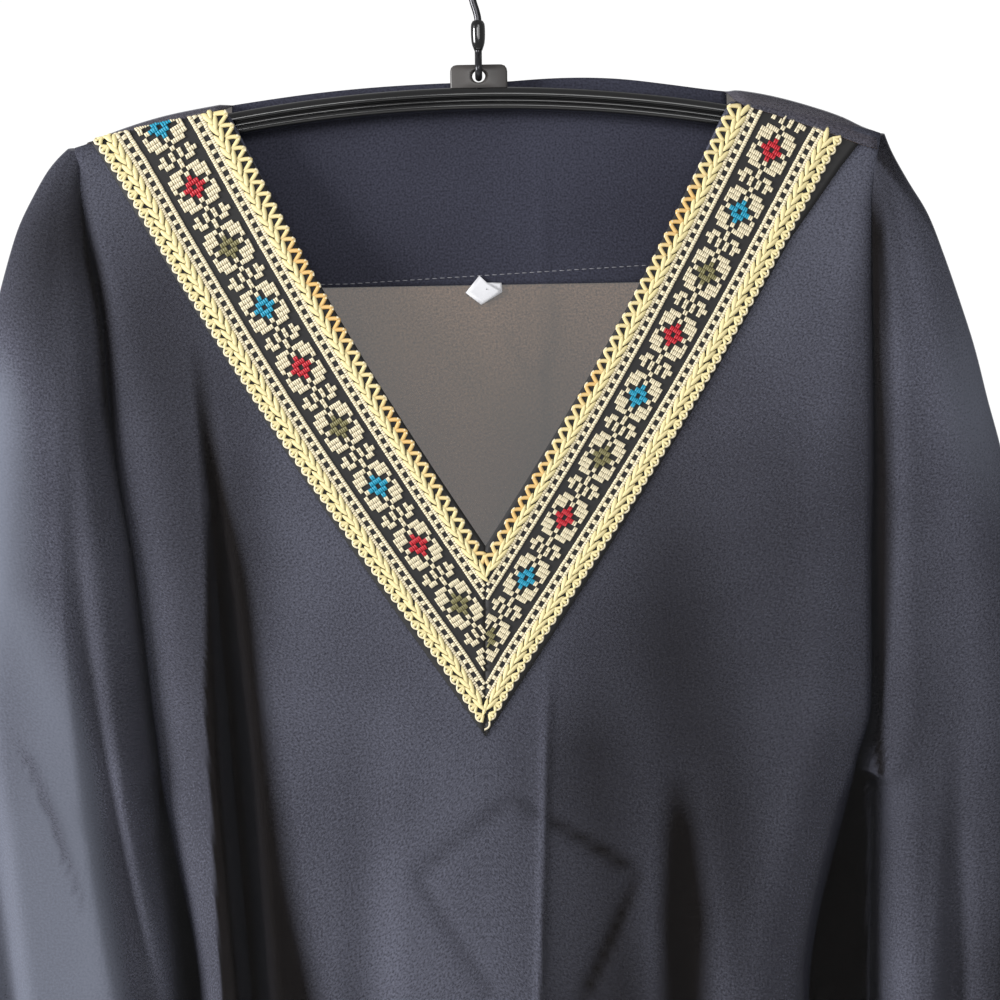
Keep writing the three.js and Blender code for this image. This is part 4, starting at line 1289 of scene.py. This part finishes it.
def ribbon_threads(side):
    """The threads of one ribbon, by colour, in the ribbon's own directions."""
    threads = {colour: Threads() for colour in THREADS}
    leg = LEG[side]
    for repeat in range(FIRST_REPEAT, LAST_REPEAT + 1):
        star = leg["stars"][repeat % 3]
        for r, line in enumerate(CHART):
            for c, mark in enumerate(line):
                if mark == ".":
                    continue
                colour = "cream" if mark == "X" else star
                u = (r - 4) * CELL_U
                v = leg["first"] + repeat * REPEAT + leg["way"] * (c - STAR_COLUMN) * CELL_V
                pair = np.array([[u - 0.57, v, 0, 0], [u + 0.57, v, 0, 0]])
                pair = inside_leg(side, pair + jitter((2, 4), (0.05, 0.05, 0.03, 0.05)))
                if len(pair):
                    threads[colour].add(stitch, pair)
    for way in (-1, 1):
        for u in LADDER_RAILS:
            threads["cream"].add(square, rows_of(side, way * u, 0.6, CELL_V / 2))
        for first in (1.2, 2.2):
            threads["cream"].add(post, rows_of(side, way * LADDER_RUNG, first, CELL_V * 2))
        for beside, first in ((-1, 4.6), (1, 1.5)):
            threads["gold"].add(leaves[beside], rows_of(side, way * BRAID, first, 6.3, 0.1, 0.12))
    threads["inner"].add(picot(-1, 5.6, 2.1, 3.1), rows_of(side, -24.6, 3.0, INNER_PITCH, 0, 0.12))
    tie = arc(0.5 * arch**2, 1.3, 1.2, 0.95)
    threads["cream"].add(tie, rows_of(side, -29.9, 3.0, INNER_PITCH, 0.15))
    for lean in (-0.62, 0, 0.62):  # the outer edge has fans of three strands under a scallop
        out = np.linspace(0, 1, 6)
        across, along = 0.4 + 3.9 * out * math.cos(lean), 4.4 * out * math.sin(lean)
        path = np.stack([across, along, 0.35 + 0.3 * out], axis=1)
        threads["gold"].add(strand(path, 1.75, 0.95), rows_of(side, 24.4, 3.0, FAN_PITCH, 0, 0.1))
    scallop = arc(1.5 * (1 - np.abs(arch) ** 2), 2.2, 1.15, 0.85)
    threads["cream"].add(scallop, rows_of(side, 27.7, 3.0, FAN_PITCH, 0.1))
    return threads


# %% Ribbons
ribbon_ground = new_material("ribbon_ground", (0.006, 0.0055, 0.006), 0.7)
GROUND_BACK, SUNK = 0.35, 0.05  # the ground's middle, and the stitches' feet, below the face
for side in SIDES:
    s = np.linspace(0, 1, 25)
    rows = []
    for t in LEG_STEPS:
        x, unrolled = leg_row(side, t, s)
        lower = mix(*RIBBON_LOWER[side], s) * leg_top(t)
        rows.append(on_front(x, unrolled + lower, RIBBON_FACE - GROUND_BACK))
    ground = grid_mesh(f"ribbon_{side}", [np.array(rows)], [side == "left"])
    solidify(ground, RIBBON_WALL)
    ground.data.materials.append(ribbon_ground)
    pieces = [ground]
    for colour, threads in ribbon_threads(side).items():
        points, faces = threads.arrays()
        x, unrolled = ribbon_place(side, points[:, 0], points[:, 1])
        points = on_front(x, unrolled, points[:, 2] + RIBBON_FACE - SUNK)
        pieces.append(mesh_piece(f"ribbon_{side}_{colour}", points, faces, THREADS[colour]))
        report(pieces[-1])
    for piece in pieces:
        settle(piece, f"trim_{side}")

# %% [markdown]
# ## Facing and label
# Behind the neck the back is lined with a band of the same crepe, folded double, so it looks darker
# than the sheer cloth below it. A line of machine stitches holds its lower edge, and a small blank
# label of white satin hangs there.


# %% Back surface
def back_point(x, drop, inward):
    """A point inward mm in front of the back, whose top edge stands behind the bar."""
    x, drop = np.broadcast_arrays(np.asarray(x, float), np.asarray(drop, float))
    hanging = np.maximum(drop, shoulder_drop(x) + OVER_FALL[-1])
    y, z = behind_bar(x, panel_depth("back", x, hanging), drop)
    return np.stack([x, y - inward, z], axis=-1)


# %% Facing
FACING_HALF, SEAM_HALF, SEAM_PITCH = 122, 116, 3.7
FACING_INWARD, SEAM_INWARD = 0.75, 1.05
facing_rows = []
x = np.linspace(-FACING_HALF, FACING_HALF, 81)
for t in np.linspace(0, 1, 40):
    facing_rows.append(back_point(x, mix(shoulder_drop(x), FACING_DROP, t), FACING_INWARD))
facing = grid_mesh("neck_facing", [np.array(facing_rows)], [False])
solidify(facing, FACING_WALL)
double = crepe("crepe_double", (0.022, 0.022, 0.032), (0.05, 0.052, 0.075), 0.93, 0.25)
facing.data.materials.append(double)
x = np.arange(-SEAM_HALF, SEAM_HALF, SEAM_PITCH)
low = np.minimum(91 - 0.045 * x, FACING_DROP - 1.6)
line = [[0, t, 0] for t in np.linspace(-1.2, 1.2, 5)]
dash = strand(line, [0.2, 0.42, 0.45, 0.42, 0.2], [0.15, 0.3, 0.35, 0.3, 0.15])
dashes = Threads()
dashes.add(dash, np.stack([x, low, np.zeros(len(x)), np.full(len(x), math.pi / 2)], axis=1))
points, faces = dashes.arrays()
points = back_point(points[:, 0], points[:, 1], SEAM_INWARD + points[:, 2])
grey_thread = new_material("grey_thread", (0.2, 0.2, 0.22), 0.6)
seam = mesh_piece("facing_stitches", points, faces, grey_thread)
for piece in (facing, seam):
    settle(piece, "back_neck_facing")

# %% Label
# Two leaves of tape: the corners (x, drop) of each, and how far it lies in front of the back.
satin = new_material("white_satin", (0.7, 0.7, 0.73), 0.35, Sheen_Weight=0.15)
LEAF_SHARES, LEAF_WALL = (0.02, 0.35, 0.7, 1), 0.3
folds = [
    ([(-8.4, 99.4), (-1.5, 91.1), (2.4, 94.8), (9.0, 98.6), (9.4, 99.6), (-0.8, 105.4)], 2.3),
    ([(1.2, 94.6), (9.4, 94.7), (9.6, 97.0), (9.8, 99.2), (4.0, 101.6), (0.6, 100.0)], 1.6),
]
label_pieces = []
for number, (outline, inward) in enumerate(folds):
    outline = np.array(outline)
    centre = outline.mean(axis=0)
    flat = np.concatenate([centre + (outline - centre) * share for share in LEAF_SHARES])
    bow = 0.9 * np.sin(flat[:, 0] * 0.35 + number) + 0.5 * np.cos(flat[:, 1] * 0.4)
    front_side = back_point(flat[:, 0], flat[:, 1], inward + 0.3 * bow)
    back_side = back_point(flat[:, 0], flat[:, 1], inward + 0.3 * bow - LEAF_WALL)
    size, rings = len(outline), len(LEAF_SHARES)
    faces = []
    for layer in (0, rings * size):
        faces += caps(layer, size) + ring_quads(layer, size, rings - 1)
    faces += ring_quads((rings - 1) * size, size, 1, step=rings * size)  # the leaf's edge
    points = np.concatenate([front_side, back_side])
    label_pieces.append(mesh_piece(f"label_fold_{number}", points, np.array(faces), satin))
for piece in label_pieces:
    settle(piece, "neck_label")

# %% [markdown]
# ## Hanger and hook
# The hanger is moulded in one piece. Its bar is an arc with a rib along the top and the bottom and
# a thin web between them, which saves plastic and keeps it stiff. The wire hook is looped through
# the hole in the tab, and a plastic sleeve covers the wire's stem.


# %% Hanger shapes
def rounded(corners, radius, steps=4):
    """A closed outline with its corners rounded."""
    corners = np.array(corners, float)
    out = []
    for i, corner in enumerate(corners):
        before, after = corners[i - 1] - corner, corners[(i + 1) % len(corners)] - corner
        reach = min(radius, np.linalg.norm(before) / 2, np.linalg.norm(after) / 2)
        a = corner + before / np.linalg.norm(before) * reach
        b = corner + after / np.linalg.norm(after) * reach
        for t in np.linspace(0, 1, steps + 1):
            out.append((1 - t) ** 2 * a + 2 * t * (1 - t) * corner + t * t * b)
    out = np.array(out)
    return out[np.linalg.norm(out - np.roll(out, 1, axis=0), axis=1) > 0.01]


def tube(path, radius, sides=14):
    """A round rod along a path, closed at both ends; radius may vary along it."""
    path = np.array(path, float)
    along = np.gradient(path, axis=0)
    along /= np.linalg.norm(along, axis=1, keepdims=True)
    normal = np.array([0.0, 1.0, 0.0]) if abs(along[0][1]) < 0.9 else np.array([1.0, 0.0, 0.0])
    rings = []
    angle = np.arange(sides) * 2 * math.pi / sides
    radius = np.broadcast_to(radius, len(path))
    for centre, tangent, r in zip(path, along, radius):
        normal = normal - tangent * (normal @ tangent)
        normal /= np.linalg.norm(normal)
        third = np.cross(tangent, normal)
        rings.append(centre + r * (np.outer(np.cos(angle), normal) + np.outer(np.sin(angle), third)))
    return np.concatenate(rings), rod_faces(sides, len(path))


def curve_through(points, count):
    """Evenly spaced points on a smooth line through a few given ones."""
    points = np.array(points, float)
    ghost = np.concatenate([2 * points[:1] - points[1:2], points, 2 * points[-1:] - points[-2:-1]])
    out = []
    for i in range(len(points) - 1):
        p0, p1, p2, p3 = ghost[i : i + 4]
        linear, square, cube = p2 - p0, 2 * p0 - 5 * p1 + 4 * p2 - p3, 3 * p1 - p0 - 3 * p2 + p3
        for t in np.linspace(0, 1, 12, endpoint=False):
            out.append(0.5 * (2 * p1 + linear * t + square * t**2 + cube * t**3))
    out.append(points[-1])
    return evenly(np.array(out), count)


BAR_HEIGHT, BAR_DEPTH, BAR_END, TAB_HALF, TAB_HEIGHT = 11.4, 11, 3, 14, 11
HOLE, HOLE_UP = 3.2, 5.5  # its radius, and its middle above the bar's top
glossy = new_material("black_plastic", (0.005, 0.005, 0.0055), 0.17, Coat_Weight=0.4)
matt = new_material("tab_plastic", (0.05, 0.045, 0.043), 0.42)
half, web = BAR_DEPTH / 2, 1.7
corners = [  # (out, down) of the front half of the bar's section
    (half - 3.4, 0), (half - 0.9, 1.3), (half, 4.9), (web, 5.7), (web, 7.4), (half - 1.2, 8),
    (half - 0.6, 9), (half - 0.6, 10.2), (half - 2, BAR_HEIGHT),
]
corners += [(-out, down) for out, down in corners[::-1]]
section = rounded(corners, 1.3, 3)
if len(section) % 2:  # an even number of corners can be capped with quads
    section = section[:-1]
near_end = np.linspace(-BAR_HALF, -BAR_HALF + BAR_END, 4)
between = np.linspace(-BAR_HALF + BAR_END, BAR_HALF - BAR_END, 120)
far_end = np.linspace(BAR_HALF - BAR_END, BAR_HALF, 4)
stations = np.r_[near_end[:-1], between, far_end[1:]]
bar_points = []
for x in stations:
    end = min(1, (BAR_HALF - abs(x)) / BAR_END)
    shrink = 1 - 0.35 * (1 - math.sqrt(1 - (1 - end) ** 2)) if end < 1 else 1
    y, down = section[:, 0] * shrink, BAR_HEIGHT / 2 + (section[:, 1] - BAR_HEIGHT / 2) * shrink
    z = -BAR_DROP - x * x / (2 * BAR_ARC) - down
    bar_points.append(np.stack([np.full(len(section), x), y, z], axis=1))
bar_faces = rod_faces(len(section), len(stations))
bar = mesh_piece("hanger_bar", np.concatenate(bar_points), bar_faces, glossy)

# The tab is a ring of faces between its hole and its edge, both with the same number of points.
TAB_POINTS, TAB_FOOT = 48, -4
corners = [(-TAB_HALF, TAB_FOOT), (TAB_HALF, TAB_FOOT)]
corners += [(TAB_HALF, TAB_HEIGHT), (-TAB_HALF, TAB_HEIGHT)]
outline = rounded(corners, 3.6, 6)
closed = np.vstack([outline, outline[:1]])
along = length_along(closed)
edge = at_length(closed, along, np.arange(TAB_POINTS) / TAB_POINTS * along[-1])
angle = np.arange(TAB_POINTS) * 2 * math.pi / TAB_POINTS - math.pi * 0.75
start = np.argmin(np.abs(np.arctan2(edge[:, 1] - HOLE_UP, edge[:, 0]) - angle[0]))
edge = np.roll(edge, -start, axis=0)
hole = np.stack([HOLE * np.cos(angle), HOLE_UP + HOLE * np.sin(angle)], axis=1)
# (share of the way from the hole to the edge, half the thickness there)
profile = [(0, 1.4), (0.06, 2.3), (0.16, 2.5), (0.3, 2.1), (0.92, 1.9), (1, 1.4)]
tab_points = []
for share, out in profile + [(share, -out) for share, out in profile[::-1]]:
    ring = mix(hole, edge, share)
    y, z = np.full(TAB_POINTS, -out), -BAR_DROP + ring[:, 1]
    tab_points.append(np.stack([ring[:, 0], y, z], axis=1))
last = (len(tab_points) - 1) * TAB_POINTS
tab_faces = ring_quads(0, TAB_POINTS, len(tab_points) - 1)
tab_faces += ring_quads(last, TAB_POINTS, 1, step=-last)
tab = mesh_piece("hanger_tab", np.concatenate(tab_points), np.array(tab_faces), matt)
for piece in (bar, tab):
    settle(piece, "hanger")

# %% Hook
HOLE_Z, HOOK_BEND, BEND_DROP, WIRE = -BAR_DROP + HOLE_UP, 21.8, 20, 1.8
STEM_LOW = HOLE_Z + 11.5
loop = [(5.6, 6.6), (4.6, 1.6), (0, -0.6), (-4.6, 1.8), (-3.6, 6.5)]  # (y, z) round the hole's rim
path = [(0, y, HOLE_Z + above) for y, above in loop]
path += [(0, 0, STEM_LOW + above) for above in (-1, 4, 12, 17)] + [(-1.7, 0, -51.5), (-5, 0, -43)]
for degrees in range(222, -39, -20):
    turn = math.radians(degrees)
    path.append((HOOK_BEND * math.cos(turn), 0, HOOK_BEND * math.sin(turn) - BEND_DROP))
wire_path = curve_through(path, 150)
wire_radius = np.full(len(wire_path), WIRE)
wire_radius[-3:] = (1.7, 1.4, 0.7)
dark_wire = new_material("dark_wire", (0.03, 0.03, 0.034), 0.24, Metallic=0.6)
hook = mesh_piece("hook_wire", *tube(wire_path, wire_radius), dark_wire)
settle(hook, "hook")
sleeve_path = [(0, 0, z) for z in np.linspace(STEM_LOW + 1, STEM_LOW + 15.5, 12)]
sleeve_radius = [1.9, 2.4, 2.9, 3.2, 3.35, 3.45, 3.5, 3.5, 3.5, 3.45, 3.3, 2.6]
hook_sleeve = mesh_piece("hook_tube", *tube(sleeve_path, sleeve_radius, 20), glossy)
settle(hook_sleeve, "hook_sleeve")

# %% [markdown]
# ## Light and camera
# The garment hangs in plain, bright surroundings. A strong soft light stands on the left, a weaker
# one fills from the front, a small one makes the hanger glint, and the world itself is white.

# %% World, lights, floor
ROOM_LIGHT, ROOM_SEEN = 0.36, 1.05  # how strongly the white room lights, and how it looks
scene.view_settings.view_transform = "Standard"
world = bpy.data.worlds.new("white_room")
scene.world = world
world.use_nodes = True
tree = world.node_tree
rays = tree.nodes.new("ShaderNodeLightPath")
choose = tree.nodes.new("ShaderNodeMixShader")
tree.links.new(rays.outputs["Is Camera Ray"], choose.inputs["Fac"])
tree.links.new(choose.outputs[0], tree.nodes["World Output"].inputs["Surface"])
lit, seen = tree.nodes["Background"], tree.nodes.new("ShaderNodeBackground")
for place, (background, strength) in enumerate(((lit, ROOM_LIGHT), (seen, ROOM_SEEN))):
    background.inputs["Color"].default_value = (1, 1, 1, 1)
    background.inputs["Strength"].default_value = strength
    tree.links.new(background.outputs[0], choose.inputs[1 + place])


def area_light(name, place, target, size, power):
    """A square soft light at a place, turned to its target; both are in metres."""
    light = bpy.data.lights.new(name, "AREA")
    light.size, light.energy = size, power
    lamp = add_object(name, light)
    lamp.location = place
    lamp.rotation_euler = (Vector(target) - Vector(place)).to_track_quat("-Z", "Y").to_euler()


area_light("key_left", (-2.3, -0.9, 0.1), (-0.1, 0, -0.4), 0.9, 95)
area_light("fill_front", (0.5, -2.6, 0.5), (0, 0, -0.35), 1.2, 20)
area_light("glint_front", (-0.45, -2.4, 0.36), (-0.1, 0, -0.3), 0.5, 9)

FLOOR_DROP = 1.66  # in metres, as the lights' places are
bpy.ops.mesh.primitive_plane_add(size=3.2, location=(0, 0, -FLOOR_DROP))
floor = bpy.context.object
floor.name = "floor"
floor.data.materials.append(new_material("pale_floor", (0.82, 0.82, 0.81), 0.9))

# %% Camera
PIXEL = 0.4897  # mm at the bar to one pixel of the picture
VIEW_CENTRE = (6.8, 202.1)  # x and drop at the picture's middle
DISTANCE = 1070
ROLL = math.radians(1.0)
SENSOR, PICTURE = 36, 1000  # the sensor's width in mm and the picture's in pixels
camera_data = bpy.data.cameras.new("camera")
camera = add_object("camera", camera_data)
camera_data.sensor_width = SENSOR
camera_data.lens = SENSOR * DISTANCE / (PICTURE * PIXEL)
camera.location = (VIEW_CENTRE[0] * MM, -DISTANCE * MM, -(BAR_DROP + VIEW_CENTRE[1]) * MM)
camera.rotation_euler = (math.pi / 2, 0, 0)
camera.rotation_euler.rotate_axis("Z", -ROLL)
scene.camera = camera
